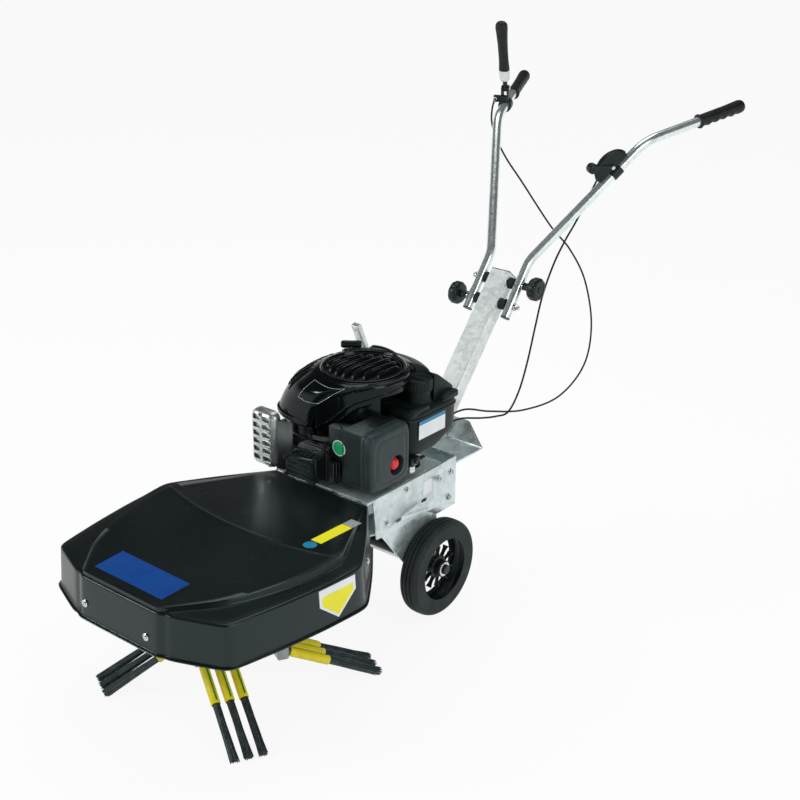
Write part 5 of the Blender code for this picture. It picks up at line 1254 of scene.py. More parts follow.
SIDE_REACH = [(-104, 0.16), (-95, 0.146), (-85, 0.134), (-75, 0.126), (-60, 0.118), (-45, 0.114),
    (-30, 0.112), (0, 0.11), (60, 0.11)]
FLOW_UPPER = [(-110, 0.508), (-95, 0.531), (-86, 0.546), (-77, 0.566), (-69, 0.583), (-59, 0.596),
    (-45, 0.605), (-28, 0.612), (0, 0.618), (50, 0.624), (70, 0.624)]
FLOW_LOWER = [(-94, 0.508), (-79, 0.54), (-72, 0.558), (-65, 0.571), (-57, 0.582), (-49, 0.587),
    (-41, 0.592), (-20, 0.594)]
FLOW_SHOULDER = [(-112, 0.56), (-95, 0.59), (-84, 0.613), (-59, 0.6275), (-40, 0.6315), (0, 0.633),
    (70, 0.634)]


def shroud_ring(z):
    """Centre, half sizes and power of the shroud's section at a height."""
    line = SHROUD_LINE
    z = min(max(z, line[0][5]), line[-1][5])
    at = 0
    while at < len(line) - 2 and line[at + 1][5] < z:
        at += 1
    b = line[at]
    c = line[at + 1]
    a = line[max(at - 1, 0)]
    d = line[min(at + 2, len(line) - 1)]
    t = (z - b[5]) / (c[5] - b[5])
    h = c[5] - b[5]
    result = []
    for k in range(5):
        before = (c[k] - a[k]) / max(c[5] - a[5], 1e-06) * h
        after = (d[k] - b[k]) / max(d[5] - b[5], 1e-06) * h
        result.append((2 * t ** 3 - 3 * t ** 2 + 1) * b[k] + (t ** 3 - 2 * t ** 2 + t) * before
            + (-2 * t ** 3 + 3 * t ** 2) * c[k] + (t ** 3 - t ** 2) * after)
    return result


def smooth_step(value):
    value = min(max(value, 0.0), 1.0)
    return value * value * (3 - 2 * value)


def along_line(line, x):
    """Read a height off a list of (degrees, height), held level past its ends."""
    x = min(max(x, line[0][0]), line[-1][0])
    for a, b in zip(line, line[1:]):
        if x <= b[0]:
            return a[1] + (b[1] - a[1]) * (x - a[0]) / (b[0] - a[0])
    return line[-1][1]


def shroud_radius(degrees, z):
    """Reach of the shroud from the crank: a full shoulder, and a narrow wall by the air cleaner."""
    cx, cy, rx, ry, power = shroud_ring(z)
    nose = smooth_step((degrees + 164) / 14) * smooth_step((-92 - degrees) / 12)
    if z < LIP_LOW:
        rx -= 0.008 * nose
        ry -= 0.008 * nose
    elif z < LIP_TOP:
        rx += 0.0022 * nose * sin(pi * (z - LIP_LOW) / (LIP_TOP - LIP_LOW))
        ry += 0.0022 * nose * sin(pi * (z - LIP_LOW) / (LIP_TOP - LIP_LOW))
    c = cos(radians(degrees))
    s = sin(radians(degrees))
    low = 0.05
    high = 0.3
    for _ in range(22):
        middle = (low + high) / 2
        if abs((middle * c - cx) / rx) ** power + abs((CRANK_Y + middle * s - cy) / ry) ** power < 1:
            low = middle
        else:
            high = middle
    side = min(1.0 if degrees > -104 else 0.0, smooth_step((60 - degrees) / 10))
    if side == 0.0:
        return low
    inner = SIDE_R - 0.0015
    outer = along_line(SIDE_REACH, degrees)
    middle = max(outer - 0.006, inner)
    fade = smooth_step((-36 - degrees) / 12)
    wall = inner
    for line, step, lip, share in ((FLOW_LOWER, middle - inner, 0.0014, fade),
            (FLOW_UPPER, outer - inner - (middle - inner) * fade, 0.0016, 1.0),
            (FLOW_SHOULDER, -0.0012, 0.0014, 1.0)):
        above = z - along_line(line, degrees)
        wall += share * (step * smooth_step(above / 0.003 + 0.5) + lip * exp(-(above / 0.002) ** 2))
    return low * (1 - side) + min(low, wall) * side


def rim_height(degrees):
    return RIM_Z + 0.0018 * sin(radians(degrees))


def shroud_point(degrees, z, out=0.0):
    """A point of the shroud's skin. Heights over 0.6 lean with the rim."""
    degrees = (degrees + 180) % 360 - 180
    reach = shroud_radius(degrees, z) + out
    if z > 0.6:
        z += (rim_height(degrees) - RIM_Z) * (z - 0.6) / (RIM_Z - 0.6)
    return Vector(polar(reach, degrees, z))


def line_on_shroud(name, knots, radius, mat, count=40, closed=False):
    """Thin round line through (degrees, height) on the shroud's skin."""
    points = []
    if closed:
        knots = knots + knots[:1]
        for a, b in zip(knots, knots[1:]):
            for step in range(8):
                t = step / 8
                points.append(shroud_point(a[0] + (b[0] - a[0]) * t, a[1] + (b[1] - a[1]) * t,
                    radius * 0.3))
        points.append(points[0])
        radii = radius
    else:
        line = smooth_line([(d, z * 1000, 0) for d, z in knots], count)
        points = [shroud_point(p.x, p.y / 1000, radius * 0.3) for p in line]
        radii = [radius * (0.25 + 0.75 * min(1.0, 6 * i / (count - 1), 6 * (1 - i / (count - 1))))
            for i in range(count)]
    return piece(name, rod(points, radii, 12, capped=not closed), mat, sharp=60.0)


def crank_ring(radius, rise, degrees):
    """A ring about the crank that leans with the dome's rim."""
    return [polar(radius, d, RIM_Z + (rim_height(d) - RIM_Z) * radius / RIM_R + rise) for d in degrees]


def cap_room(low, high):
    """Cutter that keeps the engine's cover and tank clear of the fuel cap."""
    return turned(plug_profile((0.0375, low), (0.0375, high)), 64, (*CAP_POS, 0))


def make_shroud_shell():
    """The outer skin up over the rim and down into the dome, less the room inside it."""
    degrees = []
    d = -180.0
    while d < 180.0 - 1e-6:
        degrees.append(d)
        d += 1.0 if -112 <= d < -50 or 46 <= d < 64 else 2.0
    levels = [0.49, 0.4915, 0.5, 0.512, 0.52, 0.525, 0.5261, 0.5263, 0.5275, 0.529, 0.531, 0.5335, 0.536,
              0.538, 0.54]
    while levels[-1] < 0.6398:
        levels.append(levels[-1] + 0.0014)
    levels += [0.6409, 0.6415]
    rings = [[shroud_point(d, z, -0.0012 if z == levels[0] else 0.0) for d in degrees] for z in levels]
    for radius, rise in ((0.1014, 0.0008), (0.1004, 0.0023), (0.099, 0.0031), (0.097, 0.0031),
        (0.0957, 0.002),
                         (0.095, -0.0006), (0.094, -0.0026), (0.0925, -0.0029), (0.0916, -0.0014),
                         (0.0905, -0.0003), (0.0888, -0.0003), (0.0877, -0.0018), (0.0872, -0.0048),
                         (0.0864, -0.0068), (0.083, -0.0074), (0.03, -0.007)):
        rings.append(crank_ring(radius, rise, degrees))
    inner = []
    for z, shrink in ((0.47, 0.006), (0.5, 0.006), (0.53, 0.006), (0.576, 0.006), (0.605, 0.008),
                      (0.618, 0.014)):
        cx, cy, rx, ry, power = shroud_ring(z)
        if z < 0.525:
            rx -= 0.008
            ry -= 0.008
        inner.append(rounded_ring(cx, cy, rx - shrink, ry - shrink, power, z, 64))
    inner.append(rounded_ring(0.0, CRANK_Y, 0.08, 0.08, 2.0, 0.6285, 64))
    trim = [(0.33, -0.4), (-0.012, -0.4), (-0.0215, CRANK_Y - 0.103)]
    trim += [polar(0.105, -98 + 150 * step / 16, 0)[:2] for step in range(17)]
    trim += [(trim[-1][0], 0.25), (0.33, 0.25)]
    hollow = carve(loft(inner), [prism(trim, "z", 0.4, 0.7)])
    shell = carve(loft(rings), [hollow, box((0.0535, -0.3, 0.4), (0.3, 0.202, 0.559)),
                                box((0.03, -0.134, 0.5085), (0.3, 0.06, 0.604)), cap_room(0.5, 0.624)])
    piece("shroud_shell", shell, GLOSS, ["blower_shroud"], sharp=42.0)
    drum = turned([(0, 0.508), (0.078, 0.508), (0.08, 0.51), (0.08, 0.62), (0.078, 0.622), (0, 0.622)], 64,
                  (0, CRANK_Y, 0))
    piece("blower_drum", carve(drum, [box((0.028, -0.136, 0.5), (0.3, 0.2, 0.7))]), RUBBER)


def make_louvres():
    """Seven leaning blades over the dome's well, bent a little like an S."""
    blades = []
    turn = radians(9)
    lean = 0.5
    for k in range(7):
        x = (k - 3) * 0.0232
        half = sqrt(max(GRILLE_R * GRILLE_R - (abs(x) + 0.004) ** 2, 1e-6))
        rings = []
        for s in range(25):
            t = -1 + 2 * s / 24
            y = half * t
            bend = 0.0085 * sin(pi * t * 0.85) * (half / GRILLE_R)
            taper = sqrt(max(1 - abs(t) ** 5, 0.02))
            crown = RIM_Z + 0.0075 - 0.005 * ((x * x + y * y) / (GRILLE_R * GRILLE_R))
            section = []
            for i in range(20):
                angle = 2 * pi * i / 20
                u = 0.0098 * taper * cos(angle)
                v = 0.0026 * taper * sin(angle)
                px = x + bend + u * cos(lean) + v * sin(lean)
                pz = crown - 0.0042 - u * sin(lean) + v * cos(lean)
                section.append((px * cos(turn) - y * sin(turn),
                    CRANK_Y + px * sin(turn) + y * cos(turn), pz))
            rings.append(section)
        blades.append(loft(rings))
    piece("dome_louvres", joined(blades), GLOSS, sharp=60.0)
    well = turned([(0, RIM_Z - 0.0078), (GRILLE_R, RIM_Z - 0.008), (GRILLE_R, RIM_Z - 0.0058),
                   (0, RIM_Z - 0.0058)], 96, (0, CRANK_Y, 0))
    piece("dome_well", well, RUBBER)
    slats = []
    for k in range(11):
        start = 125 + 10.0 * k
        line = [shroud_point(start - 7 * s / 9, 0.59 + 0.047 * s / 9, 0.0006) for s in range(10)]
        slats.append(rod(line, [0.0014 + 0.0034 * sin(pi * (s + 0.6) / 10.2) for s in range(10)]))
    piece("side_slats", joined(slats), GLOSS, sharp=60.0)


def make_starter_boss():
    boss = []
    for step in range(37):
        d = 78 + 74 * step / 36
        reach = along_line(BOSS_REACH, d)
        top = 0.649 - 0.0104 * smooth_step((d - 120) / 6) - 0.02 * smooth_step((84 - d) / 6)
        top -= 0.01 * smooth_step((d - 150) / 6)
        boss.append([polar(out, d, z) for out, z in (
            (0.1, 0.605), (reach, 0.605), (reach + 0.001, top - 0.012), (reach - 0.0015, top - 0.005),
            (reach - 0.006, top - 0.0012), (reach - 0.012, top), (0.104, top - 0.001), (0.1015,
            top - 0.004))])
    piece("starter_boss", loft(boss), GLOSS, sharp=50.0)


def make_lobe():
    """The cover's bulge behind the fuel cap."""
    rings = []
    for z, out in ((0.5595, 0.16), (0.56, 0.1632), (0.564, 0.1648), (0.606, 0.165), (0.614, 0.1636),
                   (0.621, 0.16), (0.627, 0.1535), (0.632, 0.144), (0.6355, 0.132), (0.637, 0.12)):
        ring = []
        for step in range(49):
            share = step / 48
            edge = smooth_step(share / 0.1) * smooth_step((1 - share) / 0.22)
            ring.append(polar(0.112 + (out - 0.112) * max(edge, 0.04), 44 + 74 * share, z))
        rings.append(ring + [polar(0.106, 118 - 74 * step / 16, z) for step in range(17)])
    piece("shroud_lobe", carve(loft(rings), [cap_room(0.5, 0.7)]), MATT_GREY, sharp=42.0)


def make_shroud():
    make_shroud_shell()
    make_louvres()
    line_on_shroud("nose_ledge", [(-150, 0.539), (-140, 0.539), (-128, 0.539), (-116, 0.539),
        (-105, 0.5385)],
                   0.003, GLOSS)
    make_starter_boss()
    line_on_shroud("trim_line", TRIM, 0.0005, SILVER, closed=True)
    make_lobe()


def make_engine_block():
    foot = PLATE_TOP + 0.0003
    deck = SHROUD_BASE - 0.012
    case = turned([
        (0, foot + 0.01), (0.0147, foot + 0.01), (0.0147, foot), (0.067, foot), (0.068, foot + 0.001),
        (0.068, foot + 0.007), (0.067, foot + 0.008), (0.058, foot + 0.01), (0.056, foot + 0.014),
        (0.056, deck + 0.004), (0, deck + 0.004)], 96, (0, CRANK_Y, 0))
    rings = []
    y = -0.236
    for _ in range(6):
        for half_x, half_z, depth, edge in ((0.056, 0.0405, 0.003, 0.0008), (0.04, 0.032, 0.0075, 0.0)):
            for level, trim in ((y, edge), (y + edge, 0.0), (y + depth - edge, 0.0), (y + depth, edge)):
                rings.append([(HEAD_X + px, level, HEAD_Z + pz) for px, pz, _ in
                              rounded_ring(0, 0, half_x - trim, half_z - trim, 7.0, 0, 64)])
            y += depth
    rings.append([(px, CRANK_Y - 0.03, pz) for px, _, pz in rings[-1]])
    base = loft([rounded_ring(-0.06, -0.094, rx, ry, 2.8, level) for rx, ry, level in (
        (0.111, 0.131, deck), (0.112, 0.132, deck + 0.001), (0.112, 0.132, SHROUD_BASE - 0.0003))])
    parts = [case]
    for mesh in (loft(rings), base):
        parts.append(carve(mesh, [box((0.0145, -0.3, 0.455), (0.3, -0.176, 0.6))]))
    for i in range(10):
        rib = rounded(box((0.05, -0.0022, foot + 0.006), (0.066, 0.0022, deck - 0.012)), 0.001, 2)
        rib.transform(Matrix.Translation((0, CRANK_Y, 0)) @ Matrix.Rotation(2 * pi * i / 10, 4, "Z"))
        parts.append(rib)
    piece("engine_casting", joined(parts), ALLOY, ["engine_block"])
    for i, angle in enumerate((20, 110, 200, 290)):
        hex_bolt("engine_bolt_%d" % (i + 1), polar(0.078, angle, PLATE_TOP), (0, 0, 1), size=0.006,
            height=0.005)
    for i, (x, y) in enumerate(((-0.04, -0.17), (0.04, -0.15), (0.0, -0.01))):
        leg = turned(plug_profile((0.009, foot + 0.002), (0.0075, foot + 0.012),
            (0.0075, deck - 0.002)), 32,
                     (x, y, 0))
        piece("engine_leg_%d" % (i + 1), leg, ALLOY)


def make_muffler():
    muffler = rounded(box((-0.19, -0.212, 0.41), (-0.122, -0.13, 0.486)), 0.012, 5)
    pipe = rod([(-0.13, -0.205, 0.445), (HEAD_X - 0.056 - 0.0003, -0.205, 0.445)], 0.01, 32)
    piece("muffler_box", joined([muffler, pipe]), ALLOY, ["muffler"])


def make_exhaust():
    """Muffler, and the guard in front of it with its six rows of slots."""
    make_muffler()
    x0, y0, z0 = (-0.199, -0.268, 0.399)
    x1, y1, z1 = (-0.122, -0.2405, 0.542)
    shell = rounded(box((x0, y0, z0), (x1, y1 + 0.02, z1)), 0.018, 6)
    inner = box((x0 + 0.0022, y0 + 0.0022, z0 + 0.0022), (x1 - 0.0022, y1 + 0.03, z1 - 0.0022))
    cutters = [rounded(inner, 0.0158, 6), box((x0 - 0.01, y1, z0 - 0.01), (x1 + 0.01, y1 + 0.1, z1 + 0.01))]
    rims = []
    for row in range(6):
        z = z0 + 0.0235 + 0.0205 * row
        cutters.append(rounded(box((x0 + 0.043, y0 - 0.01, z - 0.0058),
            (x0 + 0.068, y0 + 0.018, z + 0.0058)),
                               0.0045, 4))
        wedge = [(x0 + 0.0105, z - 0.0062), (x0 + 0.035, z - 0.0062), (x0 + 0.029, z + 0.0062),
                 (x0 + 0.0105, z + 0.0062)]
        cutters.append(rounded(prism(wedge, "y", y0 - 0.01, y0 + 0.018), 0.0022, 2))
        cutters.append(rounded(box((x0 - 0.01, y0 + 0.0145, z - 0.0055),
            (x0 + 0.01, y1 - 0.004, z + 0.0055)),
                               0.003, 2))
        loop = rounded_ring(x0 + 0.0555, z, 0.014, 0.0072, 4.0, y0 - 0.0004, 40, "y")
        rims.append(rod(loop + loop[:1], 0.0011, 8, capped=False))
    guard = rounded(carve(shell, cutters), 0.0005, 2, 45.0)
    piece("guard_shell", guard, PLATED, ["muffler_guard"])
    piece("guard_slot_rims", joined(rims), PLATED, sharp=60.0)
    for i, (x, z) in enumerate(((x0 + 0.034, z0 + 0.1345), (x1 - 0.012, z0 + 0.012))):
        hex_bolt("guard_bolt_%d" % (i + 1), (x, y0 + 0.0006, z), (0, -1, 0), size=0.0035, height=0.003,
                 washer=0.0055)
    liner = rounded(box((x0 + 0.006, y0 + 0.0075, z0 + 0.006), (x1 - 0.003, y0 + 0.009, z1 - 0.006)),
        0.0006, 2)
    piece("guard_liner", liner, PLATED)
    outline = [(-0.1265, -0.254), (-0.118, -0.252), (-0.105, -0.2455), (-0.096, -0.2395), (-0.088, -0.2365),
               (-0.088, -0.235), (-0.0965, -0.238), (-0.1056, -0.244), (-0.1184, -0.2505), (-0.1265,
               -0.2525)]
    piece("heat_shield", rounded(prism(outline, "z", 0.4, 0.5235), 0.0004, 1), SHIELD, sharp=60.0)


def make_rocker():
    x0, y0, z0 = (-0.078, -0.282, 0.406)
    x1, y1, z1 = (0.024, -0.2363, 0.479)
    slope = 0.014
    front = [(x0 + 0.004, z0 + 0.004), (x1 - 0.004, z0 + 0.004), (x1 - 0.004, z1 - 0.003),
             (x0 + 0.004, z1 - 0.003 - slope)]
    rim = [(x0, z0), (x1, z0), (x1, z1), (x0, z1 - slope)]
    parts = [rounded(prism(front, "y", y0 + 0.003, y1 - 0.001), 0.007, 4),
             rounded(prism(rim, "y", y1 - 0.007, y1), 0.0022, 3)]
    for k in range(4):
        z = z0 + 0.013 + 0.012 * k
        parts.append(rounded(box((x0 + 0.014, y0, z - 0.002), (x1 - 0.014, y0 + 0.006, z + 0.002)),
            0.001, 2))
    for k in range(6):
        x = x0 + 0.016 + 0.014 * k
        top = z1 - slope * (x1 - x) / (x1 - x0)
        parts.append(rounded(box((x - 0.0014, y0 + 0.01, top - 0.006),
            (x + 0.0014, y1 - 0.009, top - 0.0012)),
                             0.0008, 2))
    piece("rocker_box", joined(parts), GLOSS, ["rocker_cover"])
    for i, (x, z) in enumerate(((x0 + 0.008, z0 + 0.008), (x1 - 0.008, z0 + 0.008),
                                (x0 + 0.008, z1 - 0.009 - slope), (x1 - 0.008, z1 - 0.009))):
        hex_bolt("rocker_bolt_%d" % (i + 1), (x, y0 + 0.0028, z), (0, -1, 0), size=0.004, height=0.004,
                 washer=0.0058, mat=SATIN)
    hose = smooth_line([(x1 - 0.01, y1 - 0.016, z1 - 0.012), (x1 - 0.006, y1 - 0.014, z1 + 0.002),
                        (x1 - 0.01, y1 - 0.002, z1 + 0.01), (x1 - 0.016, y1 + 0.014, z1 + 0.013)], 24)
    piece("breather_hose", rod(hose, 0.0052, 20), RUBBER)


AIR_Y = (-0.232, -0.088)
AIR_Z = (0.403, 0.55)
AIR_FACE = -0.224
AIR_DECK = 0.5435
BULB_Y = -0.14
BULB_Z = 0.453


def yz_ring(y0, y1, z0, z1, power, x):
    return rounded_ring((y0 + y1) / 2, (z0 + z1) / 2, (y1 - y0) / 2, (z1 - z0) / 2, power, x, axis="x")


def make_air_cleaner():
    y0, y1 = AIR_Y
    z0, z1 = AIR_Z
    lid = loft([yz_ring(y0 + inset, y1 - inset, z0 + inset, z1 - inset, power, x) for x, inset, power in (
        (0.118, 0.003, 8.0), (0.1186, 0.0, 8.0), (0.126, 0.0, 7.5), (0.1266, 0.0012, 7.5), (0.1278,
        0.0012, 7.5),
        (0.1284, 0.0, 7.5), (0.14, 0.0, 7.0), (0.144, 0.001, 6.5), (0.1475, 0.0032, 6.0), (0.15, 0.007,
        5.6),
        (0.1512, 0.012, 5.2), (0.1516, 0.016, 5.0), (0.1508, 0.0175, 5.0), (0.1508, 0.019, 5.0),
        (0.1517, 0.0205, 5.0), (0.1522, 0.03, 4.6), (0.1525, 0.05, 4.0))])
    recess = turned([(0, -0.03), (0.023, -0.03), (0.024, -0.01), (0.0245, 0.0), (0.026, 0.002),
        (0.026, 0.02),
                     (0, 0.02)], 64, (0.1515, BULB_Y, BULB_Z), (1, 0, 0))
    recess = carve(recess, [box((0.1, BULB_Y - 0.03, BULB_Z - 0.03), (0.13, BULB_Y + 0.03, BULB_Z + 0.03))])
    bore = turned(plug_profile((0.0166, 0), (0.0166, 0.0105)), 64, (0.1204, BULB_Y, BULB_Z), (1, 0, 0))
    piece("air_cleaner_lid", carve(lid, [recess, bore]), MATT_GREY, ["air_cleaner_cover"], sharp=38.0)
    body = box((0.0545, AIR_FACE, z0 + 0.004), (0.118, y1 - 0.006, AIR_DECK))
    wing = box((0.0155, AIR_FACE, 0.462), (0.06, -0.15, AIR_DECK))
    wing = carve(wing, [turned(plug_profile((0.1135, 0.4), (0.1135, 0.6)), 96, (0, CRANK_Y, 0))])
    body = rounded(carve(body, [wing], "UNION"), 0.0058, 5)
    piece("air_cleaner_body", body, CASE_BLACK, ["air_cleaner_cover"], sharp=38.0)
    seal = rounded(box((0.115, y0 + 0.01, z0 + 0.006), (0.12, y1 - 0.01, z1 - 0.008)), 0.001, 2)
    piece("air_cleaner_seal", seal, RUBBER)
    ribs = []
    for k in range(7):
        y = -0.1665 + 0.01 * k
        ribs.append(rounded(box((0.095, y, 0.5425), (0.115, y + 0.0052, 0.551)), 0.0012, 2))
    ribs.append(rounded(box((0.093, -0.17, 0.5415), (0.117, -0.1, 0.547)), 0.0014, 2))
    piece("air_cleaner_latch", joined(ribs), SATIN)
    dome = turned([(0, -0.0034), (0.0085, -0.0034), (0.0085, 0.0003), (0.015, 0.0006), (0.0158, 0.002),
                   (0.0155, 0.008), (0.015, 0.012), (0.0136, 0.0155), (0.011, 0.0182), (0.007, 0.0199),
                   (0.0032, 0.0205), (0, 0.0206)], 64, (0.13, BULB_Y, BULB_Z), (1, 0, 0))
    piece("primer_dome", dome, RED, ["primer_bulb"], sharp=50.0, body="primer")
    for name, radius, lift, mat in (("round_label", 0.0195, 0.0004, PALE),
                                    ("round_label_field", 0.0172, 0.0008, LEAF)):
        disc = turned(plug_profile((radius, -0.0002), (radius, lift)), 48, (0.047, AIR_FACE, 0.494),
            (0, -1, 0))
        piece(name, disc, mat)


TANK_X = (0.0575, 0.152)
TANK_Y = (-0.084, 0.102)
TANK_Z = (0.445, 0.556)


def make_tank_shell():
    """Tank with a seam round it, a neck, and the raised parts that its top has around the cap."""
    low, high = TANK_Z
    mx, my = (sum(TANK_X) / 2, sum(TANK_Y) / 2)
    hx, hy = ((TANK_X[1] - TANK_X[0]) / 2, (TANK_Y[1] - TANK_Y[0]) / 2)
    rings = []
    for z, shrink, rear in (
            (low, 0.014, 0.035), (low + 0.0012, 0.0105, 0.0345), (low + 0.004, 0.007, 0.033),
            (low + 0.009, 0.0046, 0.031), (low + 0.025, 0.0038, 0.024), (high - 0.0235, 0.003, 0.001),
            (high - 0.0215, 0.0028, 0.0), (high - 0.0208, 0.0004, 0.0), (high - 0.02, 0.0, 0.0),
            (high - 0.0165, 0.0, 0.0), (high - 0.0157, 0.0004, 0.0), (high - 0.0152, 0.0022, 0.0),
            (high - 0.01, 0.0026, 0.0), (high - 0.005, 0.0042, 0.0), (high - 0.0018, 0.0075, 0.0),
            (high, 0.012, 0.0), (high + 0.0004, 0.02, 0.0)):
        rings.append([(x, y, level + rear * min(max((y - my) / hy, 0.0), 1.0)) for x, y, level in
                      rounded_ring(mx, my, hx - shrink, hy - shrink, 5.0, z, 144)])
    neck = turned([(0, high - 0.02), (0.036, high - 0.02), (0.0355, high + 0.001), (0.0325, high + 0.004),
                   (0.0305, high + 0.01), (0.03, high + 0.029), (0.029, high + 0.03), (0, high + 0.03)], 96,
                  (*CAP_POS, 0))
    hump = rounded(prism([(0.027, high - 0.01), (0.101, high - 0.01), (0.101, high + 0.017),
                          (0.045, high + 0.06), (0.033, high + 0.0665), (0.027, high + 0.064)],
                         "x", 0.098, 0.128), 0.003, 4)
    hump = carve(hump, [turned(plug_profile((0.0372, high - 0.03), (0.0372, high + 0.1)), 96,
        (*CAP_POS, 0))])
    shoulder = prism([(0.034, high - 0.006), (0.1005, high - 0.006), (0.1005, high + 0.012),
                      (0.06, high + 0.0115), (0.04, high + 0.004)], "x", 0.066, 0.147)
    corner = prism([(0.0345, -0.06), (0.123, -0.045), (0.123, 0.02), (0.0345, 0.02)], "z", 0.51,
        high + 0.001)
    step = prism([(-0.078, high - 0.012), (-0.012, high - 0.012), (-0.012, high + 0.006),
                  (-0.07, high + 0.004)], "x", 0.126, 0.146)
    parts = [loft(rings), neck, hump, rounded(shoulder, 0.005, 4), rounded(corner, 0.004, 4),
             rounded(step, 0.003, 3)]
    piece("fuel_tank_shell", joined(parts), TANK_GREY, ["fuel_tank"], sharp=38.0)


def make_fuel_cap():
    """Cap with 24 grooves in its side and a bar across its dished top."""
    cx, cy = CAP_POS
    base = TANK_Z[1] + 0.0303
    rings = []
    for z, radius, depth in (
            (base, 0.0315, 0.0), (base + 0.0008, 0.0336, 0.0), (base + 0.0028, 0.0345, 0.0),
            (base + 0.0045, 0.0345, 0.0011), (base + 0.0225, 0.0343, 0.0011), (base + 0.0245, 0.0341, 0.0),
            (base + 0.0275, 0.0333, 0.0), (base + 0.0295, 0.0312, 0.0), (base + 0.03, 0.028, 0.0),
            (base + 0.0292, 0.0245, 0.0), (base + 0.0282, 0.0236, 0.0), (base + 0.028, 0.006, 0.0)):
        ring = []
        for i in range(192):
            angle = 2 * pi * i / 192
            reach = radius - depth * (1 if cos(angle * 24) > 0.15 else 0)
            ring.append((cx + reach * cos(angle), cy + reach * sin(angle), z))
        rings.append(ring)
    bar = rounded(box((cx - 0.0235, cy - 0.0055, base + 0.0265), (cx + 0.0235, cy + 0.0055, base + 0.0306)),
                  0.0016, 3)
    piece("fuel_cap_ribbed", joined([loft(rings), bar]), TANK_GREY, ["fuel_cap"], sharp=38.0, body="cap")


def make_tank():
    make_tank_shell()
    make_fuel_cap()
    x = TANK_X[1] - 0.0032
    for name, low, high, lift, mat in (("tank_label", 0.486, 0.532, 0.0009, PALE),
                                       ("tank_label_strip", 0.5225, 0.532, 0.0012, SKY)):
        outline = [(-0.056, low), (0.044, low), (0.044, high), (-0.056, high)]
        piece(name, prism(outline, "x", x, x + lift), mat)


def make_fuel_parts():
    parts = [turned([(0, 0.404), (0.009, 0.404), (0.0105, 0.406), (0.0105, 0.42), (0.0075, 0.423),
        (0.0075, 0.431), (0, 0.431)], 40, (0.134, -0.066, 0)),
        turned([(0, 0.4005), (0.0045, 0.4005), (0.0045, 0.404), (0, 0.404)], 6, (0.134, -0.066, 0))]
    piece("fuel_bowl", joined(parts), BOLT)
    parts = [rounded(box((0.118, -0.083, 0.428), (0.15, -0.05, 0.4445)), 0.003, 3),
        rounded(box((0.14, -0.052, 0.432), (0.1505, -0.03, 0.4385)), 0.0022, 3),
        turned([(0, 0), (0.0065, 0), (0.0065, 0.006), (0.0055, 0.007), (0, 0.007)], 32,
        (0.1475, -0.066, 0.436), (1, 0, 0))]
    piece("fuel_valve", joined(parts), SATIN)
    hose = smooth_line([(0.134, -0.05, 0.432), (0.134, -0.036, 0.42), (0.128, -0.03, 0.404),
        (0.11, -0.034, 0.398), (0.09, -0.05, 0.402)], 30)
    piece("fuel_hose", rod(hose, 0.0036, 16), RUBBER)


STARTER = Vector((-0.108, -0.001, 0.649))


def make_starter():
    ray = Vector((0.3, -0.36, -0.88))
    grip = turned([
        (0, -0.026), (0.005, -0.0258), (0.0075, -0.0245), (0.009, -0.0215), (0.0096, -0.0175), (0.0094,
        -0.008),
        (0.009, 0.0), (0.0094, 0.008), (0.0096, 0.0175), (0.009, 0.0215), (0.0075, 0.0245), (0.005, 0.0258),
        (0, 0.026)], 48, STARTER, (0.766, 0.643, 0.0))
    stem = turned(plug_profile((0.0055, 0), (0.005, 0.0095)), 32, STARTER, ray)
    piece("starter_handle", joined([grip, stem]), SATIN, ["starter_grip"], sharp=50.0, body="starter")
    ring = turned([(0.003, -0.004), (0.0085, -0.004), (0.0095, 0.0), (0.0085, 0.0015), (0.003, 0.0015)], 40,
                  STARTER + ray.normalized() * 0.0125, -ray)
    piece("rope_outlet", ring, SATIN)


# Column, clamp and handle

TILT = radians(39.4)
COLUMN_UP = Vector((0, sin(TILT), cos(TILT)))
COLUMN_TOP = Vector((0, 0.482, 0.7356))
COLUMN_W = 0.058
COLUMN_D = 0.042
LOWER_BOLT = 0.082
UPPER_BOLT = 0.022
BOLT_ROOM = 0.0045
SLOT_SWING = 12.8
TUBE_X = 0.06
TUBE_R = 0.0125
KNOB_X = 0.11
HANDLE_CORNERS = [(0.06, 0.505, 0.775), (0.23, 0.752, 1.068), (0.3395, 1.033, 1.1285)]


def on_column(distance, x=0.0):
    spot = COLUMN_TOP - COLUMN_UP * distance
    spot.x = x
    return spot


def column_slot():
    """Curved slot for the upper bolt, about the lower one."""
    radius = LOWER_BOLT - UPPER_BOLT
    slot = []
    for _, side in SIDES:
        end = radians(side * SLOT_SWING)
        for step in range(-6, 7):
            angle = radians(side * SLOT_SWING * step / 6)
            reach = radius + side * BOLT_ROOM
            slot.append((reach * sin(angle), -LOWER_BOLT + reach * cos(angle)))
        middle = (radius * sin(end), -LOWER_BOLT + radius * cos(end))
        for step in range(1, 8):
            angle = end + pi * step / 8
            slot.append((middle[0] + side * BOLT_ROOM * sin(angle),
                middle[1] + side * BOLT_ROOM * cos(angle)))
    return slot


